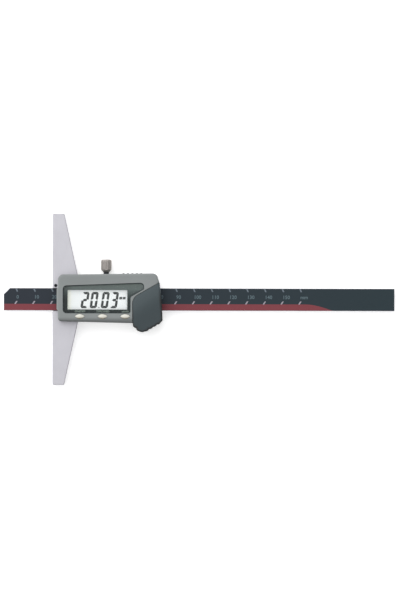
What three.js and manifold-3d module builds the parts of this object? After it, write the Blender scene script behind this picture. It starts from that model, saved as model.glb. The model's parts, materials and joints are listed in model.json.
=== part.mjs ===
// Digital depth gauge, lying on its back with the display up. All lengths are millimetres.
// +X runs along the beam away from the work, +Y across it towards the clamp knob, +Z out of the display.
// The origin lies in the measuring face, at the back, on the centreline of the beam.
import * as THREE from 'three';
import { mergeVertices } from 'three/addons/utils/BufferGeometryUtils.js';
import Module from 'manifold-3d';

const wasm = await Module();
wasm.setup();

// Driving dimensions: beam and its scale
const beamLength = 220.3;
const beamWidth = 12.7;
const beamThickness = 3.2;
const tipReach = 27.6;
const tipChamfer = 3.5;
const beamEdgeBreak = 0.15;
const scaleRim = 0.6;
const statorThickness = 0.5;
const filmThickness = 0.15;
const filmMargin = 0.2;
const scaleGap = 0.1;

// Driving dimensions: measuring base
const baseLength = 96.5;
const baseEndWidth = 6.5;
const baseMidWidth = 15.2;
const baseMidLength = 17.4;
const baseThickness = 6.5;
const baseCornerRadius = 0.6;
const baseEdgeBreak = 0.3;

// Driving dimensions: slider frame, back plate and gib
const slideGap = 0.3;
const frameGap = 0.2;
const railWidth = 4.15;
const backPlateThickness = 1;
const headGap = 0.9;
const readerHeight = 0.4;
const readerLength = 17;
const bridgeGap = 0.3;
const bridgeWidth = 4;
const gibThickness = 1.3;
const gibGap = 0.1;
const gibRelief = 0.3;
const gibEndInset = 0.5;

// Driving dimensions: case
const caseLeft = 3.2;
const caseWall = 1.3;
const frontWall = 1.6;
const caseLift = 0.3;
const caseTopRoom = 0.4;
const caseBottomRoom = 0.3;
const caseEndRoom = 1.3;
const caseTopFlare = 0.8;
const caseBottomFlare = 1;
const caseCornerRadius = 2.2;
const caseTopCornerRadius = 3;
const caseEdgeRound = 1.1;
const shoulderOut = 0.9;
const shoulderDrop = 5.1;
const topCornerIn = 0.6;
const topCornerRadius = 2.8;
const partGap = 0.3;
const seatGap = 0.1;
const seamGap = 0.2;

// Driving dimensions: display and window
const viewLength = 33.5;
const viewHeight = 10.9;
const viewIn = 5.5;
const viewMargin = 0.2;
const displayWall = 0.5;
const displayGap = 0.2;
const glassThickness = 0.9;
const reflectorThickness = 0.2;
const zebraWidth = 1;
const windowRimLeft = 2.4;
const windowRimRight = 1.5;
const windowRimBottom = 1.8;
const windowRimTop = 2.2;
const windowTopRise = 1.7;
const windowCornerRadius = 1.8;
const windowWingLength = 7.6;
const windowSeamRim = 1.4;
const apertureMargin = 0.5;
const lensThickness = 0.6;
const lensSink = 0.4;
const lensGap = 0.1;
const maskThickness = 0.1;

// Driving dimensions: board and what it carries
const boardThickness = 0.8;
const chipSize = 7;
const chipHeight = 1;
const chipEdgeBreak = 0.2;
const chipAlong = 8;
const crystalRadius = 1;
const crystalLength = 6;
const crystalAlong = 22;

// Driving dimensions: battery, its well and contacts
const batteryDiameter = 11.6;
const batteryThickness = 5.4;
const batteryCapRadius = 4.9;
const batteryCapHeight = 0.6;
const batteryEdge = 0.4;
const batteryGap = 0.3;
const springRoom = 0.5;
const wellWall = 0.8;
const wellEndGap = 0.2;
const wellSideGap = 1.3;
const wellFloorGap = 0.4;
const wellSink = 0.3;
const contactThickness = 0.2;
const contactWidth = 3;
const contactFoot = 1.8;
const contactGap = 0.15;

// Driving dimensions: battery cover with the thumb rest
const coverMargin = 0.5;
const coverWellMargin = 0.2;
const coverGap = 0.3;
const coverSlant = THREE.MathUtils.degToRad(30);
const coverSweepRadius = 5.5;
const coverEndOut = 2.8;
const coverEdgeRound = 0.9;
const coverEdgeLean = 0.5;
const coverLift = 0.6;
const deckThickness = 1.3;
const deckRim = 0.8;
const thumbDrop = 1;
const thumbReach = 5.6;
const thumbTipAlong = 5.3;
const thumbTipHalf = 1.6;
const thumbRibDepth = 0.45;
const thumbRibLeftCount = 2;
const thumbRibTipCount = 1;
const thumbRibRightCount = 4;
const coverRailWidth = 0.8;
const coverRailHeight = 0.9;
const coverRailIn = 5.5;
const coverRailOut = 1;

// Driving dimensions: buttons
const buttonHalfLength = 2.75;
const buttonHalfHeight = 1.3;
const buttonPitch = 12.75;
const buttonInset = 6.9;
const buttonBelowWindow = 2.05;
const buttonRise = 0.8;
const buttonGap = 0.15;
const buttonLip = 0.4;
const buttonLipHeight = 0.15;
const buttonFlange = 0.5;
const buttonStemRadius = 1;
const buttonTravel = 0.5;
const buttonFreePlay = 0.2;
const domeRadius = 1.6;
const domeHeight = 0.4;

// Driving dimensions: clamp screw
const lockAlong = 27;
const lockStudRadius = 1.2;
const lockShankRadius = 0.95;
const lockHoleGap = 0.3;
const lockCollarRadius = 1.55;
const lockPadLength = 1;
const lockPadGap = 0.1;
const knobRadius = 3.15;
const knobLength = 7.2;
const knobFootRadius = 1.9;
const knobConeLength = 1.5;
const knobChamfer = 0.35;
const knobClear = 0.6;
const knobFloorGap = 0.25;
const knobBoreDepth = 5;
const knurlCount = 28;
const knurlDepth = 0.22;

// Driving dimensions: screws, bosses and pins
const screwRadius = 0.8;
const screwHeadRadius = 1.5;
const screwHeadRim = 0.15;
const screwHeadDepth = 0.8;
const screwSocketRadius = 0.55;
const screwSocketDepth = 0.5;
const screwGap = 0.15;
const screwEndInset = 2.9;
const bossRadius = 1.5;
const bossDepth = 3.6;
const backScrewLength = 4;
const baseScrewRadius = 1;
const baseScrewHeadRadius = 1.9;
const baseScrewHeadLength = 2;
const baseScrewSocketRadius = 0.95;
const baseScrewSink = 1.6;
const screwTipGap = 0.875;
const baseScrewWall = 0.45;
const setScrewRadius = 0.9;
const setScrewLength = 3.2;
const setScrewChamfer = 0.22;
const setScrewLeftOff = 4.5;
const setScrewRightOff = 13.3;
const setScrewSlotWidth = 0.4;
const setScrewSlotDepth = 0.5;
const keeperRadius = 0.85;
const keeperShankRadius = 0.5;
const keeperHeadLength = 1;
const keeperAlong = 1.8;

// Driving dimensions: beam stop
const stopLength = 8;
const stopWidth = 8;
const stopInset = 2.7;
const stopScrewPitch = 4.4;
const stopScrewRadius = 0.6;
const stopScrewHeadRadius = 1.1;
const stopScrewHeadDepth = 0.5;
const stopScrewLength = 2.2;
const stopScrewSocketRadius = 0.4;

// Driving dimensions: data port and its plug
const portLength = 9.4;
const portHeight = 3.8;
const portAlong = 2.8;
const portAboveBoard = 1.4;
const portBodyDepth = 2.6;
const portBodyWall = 0.8;
const portPocketDepth = 1.4;
const portRim = 1;
const portRecess = 0.5;
const portPlateThickness = 0.6;
const portRibHeight = 0.9;
const portRibWidth = 0.9;
const portRibPitch = 2.5;
const portRibCount = 5;
const portPlugLength = 1.1;

// How finely curves are drawn
const arcStep = THREE.MathUtils.degToRad(18);
const roundSteps = 4;
const domeSteps = 4;
const ribSteps = 6;
const ovalSteps = 8;
const discSegments = 36;
const smallSegments = 16;
const hexagonSides = 6;
const leastArcSteps = 2;
const sharpRadius = 0.05;
const weldDistance = 0.00013;
const nearlyParallel = 1e-9;
const overrun = 1;

// Heights, from the back up
const beamBack = backPlateThickness + slideGap;
const beamFront = beamBack + beamThickness;
const filmFront = beamFront + filmThickness;
const railFront = beamFront + headGap;
const boardFront = railFront + boardThickness;
const batteryBack = boardFront + springRoom;
const deckFront = batteryBack + batteryThickness;
const caseInner = deckFront + coverGap;
const caseFront = caseInner + frontWall;
const lensFront = caseFront - lensSink;
const lensBack = lensFront - lensThickness;
const ledgeFront = lensBack - maskThickness;
const glassFront = caseInner - displayGap;
const glassMiddle = glassFront - glassThickness;
const glassBack = glassMiddle - glassThickness;
const reflectorBack = glassBack - reflectorThickness;
const baseClear = baseThickness + partGap;
const railMiddle = (backPlateThickness + railFront) / 2;

// Places across the beam
const beamHalf = beamWidth / 2;
const gibInner = beamHalf + gibGap;
const gibOuter = gibInner + gibThickness;
const channelTop = gibOuter + gibRelief;
const channelBottom = -beamHalf - slideGap;
const railTop = channelTop + railWidth;
const railBottom = channelBottom - railWidth;
const caseTop = railTop + caseTopRoom + caseWall;
const caseBottom = railBottom - caseBottomRoom - caseWall;
const screwTop = (channelTop + railTop) / 2;
const screwBottom = railBottom + bossRadius;
const zebraSlot = zebraWidth + lensGap + lensGap;
const displayBottom = screwBottom + bossRadius + displayGap;
const viewBottom = displayBottom + displayWall + zebraSlot + viewMargin;
const viewTop = viewBottom + viewHeight;
const displayTop = viewTop + viewMargin + zebraSlot + displayWall;
const windowBottom = viewBottom - windowRimBottom;
const windowTop = viewTop + windowRimTop;
const buttonY = windowBottom - buttonBelowWindow;

// Places along the beam
const beamLeft = -tipReach;
const beamRight = beamLength - tipReach;
const frameLeft = baseMidWidth + frameGap;
const viewLeft = caseLeft + viewIn;
const viewRight = viewLeft + viewLength;
const displayLeft = viewLeft - viewMargin - displayWall - displayWall;
const displayRight = viewRight + viewMargin + displayWall + displayWall;
const windowLeft = viewLeft - windowRimLeft;
const windowRight = viewRight + windowRimRight;
const batteryRadius = batteryDiameter / 2;
const wellRadius = batteryRadius + batteryGap;
const batteryX = displayRight + wellSideGap + wellWall + wellRadius;
const batteryY = caseBottom + caseWall + wellRadius + wellWall - wellSink;
const caseRight = batteryX + wellRadius + wellEndGap + caseWall;
const frameRight = caseRight - caseWall - caseEndRoom;
const boardLeft = caseLeft + caseWall + partGap;
const lockX = caseLeft + lockAlong;
const lockZ = knobRadius + knobFloorGap;
const buttonXs = [0, 1, 2].map((index) => viewLeft + buttonInset + index * buttonPitch);
const leftScrewX = (buttonXs[0] + buttonXs[1]) / 2;
const middleScrewX = (buttonXs[1] + buttonXs[2]) / 2;
const portX = viewRight + portAlong;
const portZ = boardFront + portAboveBoard + portHeight / 2;

// Outlines: a corner is [x, y, radius, share], counter-clockwise. The share says how much of a rounded
// front edge the side that starts at the corner gets.
function vector(corner) {
  return new THREE.Vector2(corner[0], corner[1]);
}

function neighbours(corners, index) {
  const before = corners[(index + corners.length - 1) % corners.length];
  const after = corners[(index + 1) % corners.length];
  return [before, after];
}

function roundedPoints(corners) {
  const points = [];
  corners.forEach((corner, index) => {
    const [before, after] = neighbours(corners, index);
    const here = vector(corner);
    const radius = corner[2] ?? 0;
    if (radius === 0) {
      points.push(here);
      return;
    }
    const toBefore = vector(before).sub(here).normalize();
    const toAfter = vector(after).sub(here).normalize();
    const half = toBefore.angleTo(toAfter) / 2;
    const turn = Math.sign(toAfter.cross(toBefore)) * (Math.PI - 2 * half);
    const bisector = toBefore.clone().add(toAfter).normalize();
    const centre = here.clone().addScaledVector(bisector, radius / Math.sin(half));
    const start = here.clone().addScaledVector(toBefore, radius / Math.tan(half)).sub(centre);
    const steps = Math.max(leastArcSteps, Math.ceil(Math.abs(turn) / arcStep));
    for (let step = 0; step <= steps; step += 1) {
      const angle = (turn * step) / steps;
      points.push(start.clone().rotateAround(new THREE.Vector2(), angle).add(centre));
    }
  });
  return points;
}

// Moves every side inwards, by the whole distance or by each side's share of it
function inset(corners, distance, shareOf = () => 1) {
  return corners.map((corner, index) => {
    const [before, after] = neighbours(corners, index);
    const along = vector(corner).sub(vector(before)).normalize();
    const onward = vector(after).sub(vector(corner)).normalize();
    const moveBefore = distance * shareOf(before);
    const moveAfter = distance * shareOf(corner);
    const cross = along.cross(onward);
    const moved = vector(corner);
    if (Math.abs(cross) < nearlyParallel) {
      moved.addScaledVector(new THREE.Vector2(-along.y, along.x), moveBefore);
    } else {
      moved.addScaledVector(onward, moveBefore / cross);
      moved.addScaledVector(along, -moveAfter / cross);
    }
    const radius = corner[2] ?? 0;
    const closer = (Math.sign(cross) * (moveBefore + moveAfter)) / 2;
    return [moved.x, moved.y, radius === 0 ? 0 : Math.max(radius - closer, sharpRadius), corner[3]];
  });
}

function drawnIn(corners, distance) {
  return inset(corners, distance, (corner) => corner[3] ?? 1);
}

function rectangle(left, right, bottom, top, radius = 0) {
  return [[left, bottom, radius], [right, bottom, radius], [right, top, radius], [left, top, radius]];
}

// A pointed oval: two equal arcs that meet at its ends
function pointedOval(halfLength, halfHeight) {
  const radius = (halfLength ** 2 + halfHeight ** 2) / (2 * halfHeight);
  const half = Math.asin(halfLength / radius);
  const corners = [];
  for (const side of [-1, 1]) {
    for (let step = 0; step < ovalSteps; step += 1) {
      const angle = -half + (2 * half * step) / ovalSteps;
      const rise = radius * Math.cos(angle) - (radius - halfHeight);
      corners.push([-side * radius * Math.sin(angle), side * rise]);
    }
  }
  return corners;
}

// Solids for cutting and joining
function solid(geometry) {
  const plain = geometry.clone();
  plain.deleteAttribute('normal');
  plain.deleteAttribute('uv');
  const merged = mergeVertices(plain, weldDistance);
  const vertProperties = new Float32Array(merged.attributes.position.array);
  const triVerts = new Uint32Array(merged.index.array);
  return new wasm.Manifold(new wasm.Mesh({ numProp: 3, vertProperties, triVerts }));
}

function join(...solids) {
  return solids.reduce((whole, piece) => whole.add(piece));
}

function cut(body, ...tools) {
  return tools.reduce((rest, tool) => rest.subtract(tool), body);
}

// Rings of equal length, one above the other, closed at both ends
function loft(rings) {
  const count = rings[0].points.length;
  const positions = [];
  rings.forEach(({ points, z }) => points.forEach((point) => positions.push(point.x, point.y, z)));
  const faces = [];
  for (let ring = 0; ring < rings.length - 1; ring += 1) {
    for (let index = 0; index < count; index += 1) {
      const low = ring * count + index;
      const lowNext = ring * count + ((index + 1) % count);
      faces.push(low, lowNext, lowNext + count);
      faces.push(low, lowNext + count, low + count);
    }
  }
  const last = (rings.length - 1) * count;
  const lid = THREE.ShapeUtils.triangulateShape(rings.at(-1).points, []);
  lid.forEach(([a, b, c]) => faces.push(last + a, last + b, last + c));
  const floor = THREE.ShapeUtils.triangulateShape(rings[0].points, []);
  floor.forEach(([a, b, c]) => faces.push(c, b, a));
  const geometry = new THREE.BufferGeometry();
  geometry.setAttribute('position', new THREE.Float32BufferAttribute(positions, 3));
  geometry.setIndex(faces);
  return solid(geometry);
}

function slabGeometry(corners, low, high) {
  const shape = new THREE.Shape(roundedPoints(corners));
  const geometry = new THREE.ExtrudeGeometry(shape, { depth: high - low, bevelEnabled: false });
  return geometry.translate(0, 0, low);
}

function slab(corners, low, high) {
  return solid(slabGeometry(corners, low, high));
}

// The outline's x and y become y and z, and the slab runs along the beam
function slabAlongX(corners, low, high) {
  const geometry = slabGeometry(corners, low, high);
  const turn = new THREE.Matrix4().makeBasis(
    new THREE.Vector3(0, 1, 0),
    new THREE.Vector3(0, 0, 1),
    new THREE.Vector3(1, 0, 0),
  );
  return solid(geometry.applyMatrix4(turn));
}

function roundedSlab(corners, low, high, round) {
  const rings = [{ points: roundedPoints(corners), z: low }];
  for (let step = 0; step <= roundSteps; step += 1) {
    const angle = (step / roundSteps) * (Math.PI / 2);
    const ring = drawnIn(corners, round * (1 - Math.cos(angle)));
    rings.push({ points: roundedPoints(ring), z: high - round + round * Math.sin(angle) });
  }
  return loft(rings);
}

function brokenSlab(corners, low, high, edgeBreak) {
  const full = roundedPoints(corners);
  const drawn = roundedPoints(inset(corners, edgeBreak));
  return loft([
    { points: drawn, z: low },
    { points: full, z: low + edgeBreak },
    { points: full, z: high - edgeBreak },
    { points: drawn, z: high },
  ]);
}

function block(left, right, bottom, top, low, high) {
  return slab(rectangle(left, right, bottom, top), low, high);
}

// Rods along the three axes
function rodAlongZ(x, y, radius, low, high, segments = smallSegments) {
  const geometry = new THREE.CylinderGeometry(radius, radius, high - low, segments);
  geometry.rotateX(Math.PI / 2);
  return solid(geometry.translate(x, y, (low + high) / 2));
}

function rodAlongY(x, z, radius, low, high, segments = smallSegments) {
  const geometry = new THREE.CylinderGeometry(radius, radius, high - low, segments);
  return solid(geometry.translate(x, (low + high) / 2, z));
}

function rodAlongX(y, z, radius, low, high, segments = smallSegments) {
  const geometry = new THREE.CylinderGeometry(radius, radius, high - low, segments);
  geometry.rotateZ(-Math.PI / 2);
  return solid(geometry.translate((low + high) / 2, y, z));
}

// A turned part on the Y axis, from pairs of radius and height that start and end on the axis
function turnedGeometry(profile, segments) {
  const points = profile.map(([radius, height]) => new THREE.Vector2(radius, height));
  return new THREE.LatheGeometry(points, segments);
}

function turned(profile, segments = smallSegments) {
  return solid(turnedGeometry(profile, segments));
}

// Finishes
const finishes = {
  groundSteel: { color: 0xc8c8ce, roughness: 0.35, metalness: 0.9 },
  stainless: { color: 0xb4b6b8, roughness: 0.4, metalness: 0.9 },
  blackOxide: { color: 0x1e2022, roughness: 0.5, metalness: 0.6 },
  bronze: { color: 0xa9834a, roughness: 0.45, metalness: 0.9 },
  nickel: { color: 0x9a938c, roughness: 0.35, metalness: 0.9 },
  laminate: { color: 0x3c4a3c, roughness: 0.6, metalness: 0 },
  scaleFilm: { color: 0x384048, roughness: 0.35, metalness: 0 },
  lightPlastic: { color: 0x8f9394, roughness: 0.5, metalness: 0 },
  darkPlastic: { color: 0x4d575b, roughness: 0.5, metalness: 0 },
  buttonPlastic: { color: 0xebebdc, roughness: 0.4, metalness: 0 },
  maskInk: { color: 0x3c4642, roughness: 0.5, metalness: 0 },
  acrylic: { color: 0xdfe8ea, roughness: 0.1, metalness: 0 },
  glass: { color: 0xe9eef0, roughness: 0.1, metalness: 0 },
  reflector: { color: 0xf0f3f5, roughness: 0.6, metalness: 0 },
  rubber: { color: 0x9aa0a2, roughness: 0.8, metalness: 0 },
  greenBoard: { color: 0x2d5a3a, roughness: 0.5, metalness: 0 },
  chipResin: { color: 0x18191a, roughness: 0.4, metalness: 0 },
  springSteel: { color: 0xc0bfba, roughness: 0.3, metalness: 0.9 },
  batterySteel: { color: 0xcfd2d4, roughness: 0.25, metalness: 0.95 },
};

const gauge = new THREE.Group();

function addPiece(name, body, finish, place = [0, 0, 0], turn = [0, 0, 0]) {
  const mesh = body.getMesh();
  const geometry = new THREE.BufferGeometry();
  geometry.setAttribute('position', new THREE.BufferAttribute(new Float32Array(mesh.vertProperties), 3));
  geometry.setIndex(new THREE.BufferAttribute(new Uint32Array(mesh.triVerts), 1));
  geometry.computeVertexNormals();
  const piece = new THREE.Mesh(geometry, new THREE.MeshStandardMaterial(finishes[finish]));
  piece.name = name;
  piece.position.set(...place);
  piece.rotation.set(...turn);
  gauge.add(piece);
}

const towardsFront = [Math.PI / 2, 0, 0];
const towardsRight = [0, 0, -Math.PI / 2];
const towardsBeam = [0, 0, Math.PI];

// Outlines that several pieces share
const beamCorners = [
  [beamLeft, -beamHalf],
  [beamRight, -beamHalf],
  [beamRight, beamHalf],
  [beamLeft + tipChamfer, beamHalf],
  [beamLeft, beamHalf - tipChamfer],
];

const coverLeft = batteryX - wellRadius - coverWellMargin;
const coverRight = caseRight + coverEndOut;
const shoulderX = caseRight + shoulderOut;
const shoulderY = caseTop + caseTopFlare - shoulderDrop;

const caseCorners = [
  [caseLeft, caseBottom, caseCornerRadius],
  [coverLeft - seamGap, caseBottom - caseBottomFlare, 0, 0],
  [coverLeft - seamGap, caseBottom],
  [caseRight, caseBottom, caseCornerRadius],
  [caseRight, shoulderY - shoulderOut],
  [shoulderX, shoulderY],
  [caseRight - topCornerIn, caseTop + caseTopFlare, topCornerRadius],
  [caseLeft, caseTop, caseTopCornerRadius],
];

// The seam between case and cover climbs to the shoulder
function seamHeight(x) {
  return shoulderY - seamGap / Math.cos(coverSlant) - (shoulderX - x) * Math.tan(coverSlant);
}

const wingX = windowRight + windowWingLength;
const seamRimRise = windowSeamRim / Math.cos(coverSlant);
const windowCorners = [
  [windowLeft, windowBottom, windowCornerRadius],
  [windowRight, windowBottom, windowCornerRadius / 2],
  [windowRight, seamHeight(windowRight) + seamRimRise, windowCornerRadius],
  [wingX, seamHeight(wingX) + seamRimRise, windowCornerRadius / 2],
  [wingX, windowTop + windowTopRise, windowCornerRadius],
  [windowLeft, windowTop, windowCornerRadius],
];

// One flank of the thumb rest: equal ribs that bulge out of the line between two points
function ribbedFlank(from, to, count) {
  const line = new THREE.Vector2(to[0] - from[0], to[1] - from[1]);
  const outward = new THREE.Vector2(line.y, -line.x).normalize();
  const corners = [];
  for (let step = 0; step < count * ribSteps; step += 1) {
    const share = step / (count * ribSteps);
    const rise = thumbRibDepth * Math.sin((Math.PI * (step % ribSteps)) / ribSteps);
    const x = from[0] + line.x * share + outward.x * rise;
    const y = from[1] + line.y * share + outward.y * rise;
    corners.push([x, y]);
  }
  return corners;
}

// The tip of the thumb rest lies level between its flanks
function coverOutline() {
  const tipX = coverLeft + thumbTipAlong;
  const tipY = caseBottom - thumbReach;
  const foot = [coverLeft, caseBottom - caseBottomFlare - thumbDrop];
  const tipLeft = [tipX - thumbTipHalf, tipY];
  const tipRight = [tipX + thumbTipHalf, tipY];
  const heel = [coverRight - thumbDrop, caseBottom - coverMargin];
  return [
    ...ribbedFlank(foot, tipLeft, thumbRibLeftCount),
    ...ribbedFlank(tipLeft, tipRight, thumbRibTipCount),
    ...ribbedFlank(tipRight, heel, thumbRibRightCount),
    heel,
    [coverRight, caseBottom + coverMargin],
    [coverRight - coverEdgeLean, 0],
    [shoulderX + seamGap, seamHeight(shoulderX + seamGap), 0, 0],
    [coverLeft, seamHeight(coverLeft), coverSweepRadius, 0],
  ];
}

const coverCorners = coverOutline();

// Screws and their holes, with the head at the start of the Y axis
function countersunkProfile(length, gap = 0, start = 0) {
  return [
    [0, start],
    [screwHeadRadius + gap, start],
    [screwHeadRadius + gap, screwHeadRim + gap],
    [screwRadius + gap, screwHeadDepth + gap],
    [screwRadius + gap, length + gap],
    [0, length + gap],
  ];
}

function countersunkScrew(length) {
  const socket = rodAlongY(0, 0, screwSocketRadius, -overrun, screwSocketDepth, hexagonSides);
  return cut(turned(countersunkProfile(length)), socket);
}

function countersunkHole(x, y, length) {
  const geometry = turnedGeometry(countersunkProfile(length, screwGap, -overrun), smallSegments);
  geometry.rotateX(Math.PI / 2);
  return solid(geometry.translate(x, y, seatGap));
}

const caseScrewLength = boardFront + bossDepth - seatGap - screwGap;
const rightScrewX = frameRight - screwEndInset;
const cornerScrewX = coverLeft + thumbDrop;
const caseScrews = [
  [leftScrewX, screwTop],
  [rightScrewX, screwTop],
  [leftScrewX, screwBottom],
  [cornerScrewX, screwBottom],
];
const backScrews = [
  [middleScrewX, screwTop],
  [middleScrewX, screwBottom],
];
const plateHoles = [...caseScrews, ...backScrews];
const baseScrewReach = baseScrewWall + baseScrewHeadRadius + screwGap;
const baseScrewYs = { upper: channelTop + baseScrewReach, lower: channelBottom - baseScrewReach };
const baseScrewTip = leftScrewX - screwRadius - screwTipGap;

// Measuring base: a tapered crossbar, slotted for the beam, the gib and the board
function measuringBase() {
  const half = baseLength / 2;
  const midHalf = baseMidLength / 2;
  const corners = [
    [0, -half, baseCornerRadius],
    [baseEndWidth, -half, baseCornerRadius],
    [baseMidWidth, -midHalf],
    [baseMidWidth, midHalf],
    [baseEndWidth, half, baseCornerRadius],
    [0, half, baseCornerRadius],
  ];
  const beyond = baseMidWidth + overrun;
  const bar = brokenSlab(corners, 0, baseThickness, baseEdgeBreak);
  const above = baseThickness + overrun;
  const beamSlot = block(-overrun, beyond, channelBottom, gibInner, backPlateThickness, above);
  const gibSlot = block(-overrun, beyond, 0, channelTop, backPlateThickness, beamFront + bridgeGap);
  const pocketBottom = railBottom - partGap;
  const pocketTop = railTop + partGap;
  const boardPocket = block(boardLeft - seatGap, beyond, pocketBottom, pocketTop, railFront, above);
  const headSeat = baseScrewSink + baseScrewHeadLength + seatGap;
  const holes = Object.values(baseScrewYs).flatMap((y) => [
    rodAlongX(y, railMiddle, baseScrewHeadRadius + screwGap, -overrun, headSeat),
    rodAlongX(y, railMiddle, baseScrewRadius + screwGap, 0, beyond),
  ]);
  const keeperSeat = baseThickness - keeperHeadLength - seatGap;
  const keeperHoles = [
    rodAlongZ(keeperAlong, gibOuter, keeperRadius + screwGap, keeperSeat, above),
    rodAlongZ(keeperAlong, gibOuter, keeperShankRadius + screwGap, beamBack, baseThickness),
  ];
  return cut(bar, beamSlot, gibSlot, boardPocket, ...holes, ...keeperHoles);
}

function baseScrew() {
  const body = turned([
    [0, 0],
    [baseScrewHeadRadius, 0],
    [baseScrewHeadRadius, baseScrewHeadLength],
    [baseScrewRadius, baseScrewHeadLength],
    [baseScrewRadius, baseScrewTip - baseScrewSink],
    [0, baseScrewTip - baseScrewSink],
  ]);
  const socket = rodAlongY(
    0, 0, baseScrewSocketRadius, -overrun, baseScrewHeadLength / 2, hexagonSides,
  );
  return cut(body, socket);
}

const setScrewXs = [lockX - setScrewLeftOff, lockX + setScrewRightOff];

// Slider frame: two rails joined by bridges over the ends of the beam channel
function sliderFrame() {
  const body = block(frameLeft, frameRight, railBottom, railTop, backPlateThickness, railFront);
  const channel = block(
    frameLeft - overrun, frameRight + overrun, channelBottom, channelTop, 0, filmFront + bridgeGap,
  );
  const opening = block(
    frameLeft + bridgeWidth, frameRight - bridgeWidth, channelBottom, channelTop, 0, railFront + overrun,
  );
  const screwHoles = caseScrews.map(([x, y]) =>
    rodAlongZ(x, y, screwRadius + screwGap, 0, railFront + overrun));
  const backHoles = backScrews.map(([x, y]) =>
    rodAlongZ(x, y, screwRadius + screwGap, 0, backScrewLength + seatGap + screwGap));
  const baseHoles = Object.values(baseScrewYs).map((y) =>
    rodAlongX(y, railMiddle, baseScrewRadius + screwGap, 0, baseScrewTip + screwGap));
  const setHoles = setScrewXs.map((x) =>
    rodAlongY(x, railMiddle, setScrewRadius + screwGap, 0, railTop + overrun));
  const lockHole = rodAlongY(lockX, lockZ, lockStudRadius + lockHoleGap, 0, railTop + overrun);
  return cut(body, channel, opening, ...screwHoles, ...backHoles, ...baseHoles, ...setHoles, lockHole);
}

function setScrew() {
  const body = turned([
    [0, 0],
    [setScrewRadius, 0],
    [setScrewRadius, setScrewLength - setScrewChamfer],
    [setScrewRadius - setScrewChamfer, setScrewLength],
    [0, setScrewLength],
  ]);
  const slotHalf = setScrewSlotWidth / 2;
  const beyond = setScrewRadius + overrun;
  return cut(body, block(-beyond, beyond, -overrun, setScrewSlotDepth, -slotHalf, slotHalf));
}

function backPlate() {
  const plate = block(frameLeft, frameRight, railBottom, railTop, 0, backPlateThickness);
  return cut(plate, ...plateHoles.map(([x, y]) => countersunkHole(x, y, caseScrewLength)));
}

function gib() {
  const strip = block(gibEndInset, frameRight - gibEndInset, gibInner, gibOuter, beamBack, beamFront);
  return cut(strip, rodAlongZ(keeperAlong, gibOuter, keeperShankRadius + gibRelief, 0, caseFront));
}

function gibKeeperPin() {
  const shankLength = baseThickness - beamBack - keeperHeadLength - seatGap - seatGap;
  return turned([
    [0, 0],
    [keeperRadius, 0],
    [keeperRadius, keeperHeadLength],
    [keeperShankRadius, keeperHeadLength],
    [keeperShankRadius, keeperHeadLength + shankLength],
    [0, keeperHeadLength + shankLength],
  ]);
}

addPiece('measuring_base', measuringBase(), 'groundSteel');
addPiece('slider_frame', sliderFrame(), 'stainless');
for (const [side, y] of Object.entries(baseScrewYs)) {
  addPiece(`base_screw_${side}`, baseScrew(), 'blackOxide', [baseScrewSink, y, railMiddle], towardsRight);
}
addPiece('back_plate', backPlate(), 'stainless');
['upper', 'lower'].forEach((side, index) => {
  const place = [...backScrews[index], seatGap];
  const name = `back_plate_screw_${side}`;
  addPiece(name, countersunkScrew(backScrewLength), 'stainless', place, towardsFront);
});
addPiece('gib', gib(), 'bronze');
['left', 'right'].forEach((side, index) => {
  const place = [setScrewXs[index], channelTop + setScrewLength, railMiddle];
  addPiece(`gib_set_screw_${side}`, setScrew(), 'blackOxide', place, towardsBeam);
});
addPiece(
  'gib_keeper_pin', gibKeeperPin(), 'blackOxide',
  [keeperAlong, gibOuter, baseThickness - seatGap / 2], [-Math.PI / 2, 0, 0],
);

// Case: one moulded shell with deck, battery well and screw bosses
function caseShell() {
  const shell = roundedSlab(caseCorners, caseLift, caseFront, caseEdgeRound);
  const cavity = slab(inset(caseCorners, caseWall), 0, caseInner);
  const underDeck = deckFront - deckThickness;
  const inside = slab(caseCorners, underDeck, caseInner + displayGap);
  const deck = slab(inset(coverCorners, -deckRim), underDeck, caseInner + displayGap).intersect(inside);
  const well = rodAlongZ(
    batteryX, batteryY, wellRadius + wellWall, boardFront + wellFloorGap, deckFront - seatGap, discSegments,
  );
  const bosses = caseScrews.map(([x, y]) =>
    rodAlongZ(x, y, bossRadius, boardFront, caseInner + displayGap));
  const whole = join(cut(shell, cavity), deck, well.intersect(slab(caseCorners, 0, caseFront)), ...bosses);
  return cut(whole, ...caseOpenings());
}

function caseOpenings() {
  const beyond = caseFront + overrun;
  const coverSpace = slab(inset(coverCorners, -seamGap), deckFront, beyond);
  const wellHole = rodAlongZ(batteryX, batteryY, wellRadius, 0, beyond, discSegments);
  const windowSpace = slab(windowCorners, ledgeFront, beyond);
  const aperture = block(
    viewLeft - apertureMargin, viewRight + apertureMargin, viewBottom - apertureMargin,
    viewTop + apertureMargin, caseInner - overrun, beyond,
  );
  const oval = pointedOval(buttonHalfLength + buttonGap, buttonHalfHeight + buttonGap);
  const buttonHoles = buttonXs.map((x) => slab(oval, caseInner - overrun, beyond).translate(x, buttonY, 0));
  const baseSpace = block(
    caseLeft - overrun, baseMidWidth + partGap, -baseLength, baseLength, -overrun, baseClear,
  );
  const beamSpace = block(
    caseRight - caseWall - overrun, coverRight, channelBottom - partGap, channelTop + partGap,
    -overrun, railFront + partGap,
  );
  const pilots = caseScrews.map(([x, y]) =>
    rodAlongZ(x, y, screwRadius + screwGap, boardFront - overrun, boardFront + bossDepth));
  const collarHole = rodAlongY(lockX, lockZ, lockCollarRadius + lockHoleGap, railTop, caseTop + beyond);
  return [
    coverSpace, wellHole, windowSpace, aperture, ...buttonHoles, baseSpace, beamSpace, ...pilots,
    collarHole, ...portOpenings(), contactSlot(), ...coverRails(coverGap / 2),
  ];
}

const portPlateBack = caseTop + caseTopFlare / 2 - portRecess;

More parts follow.
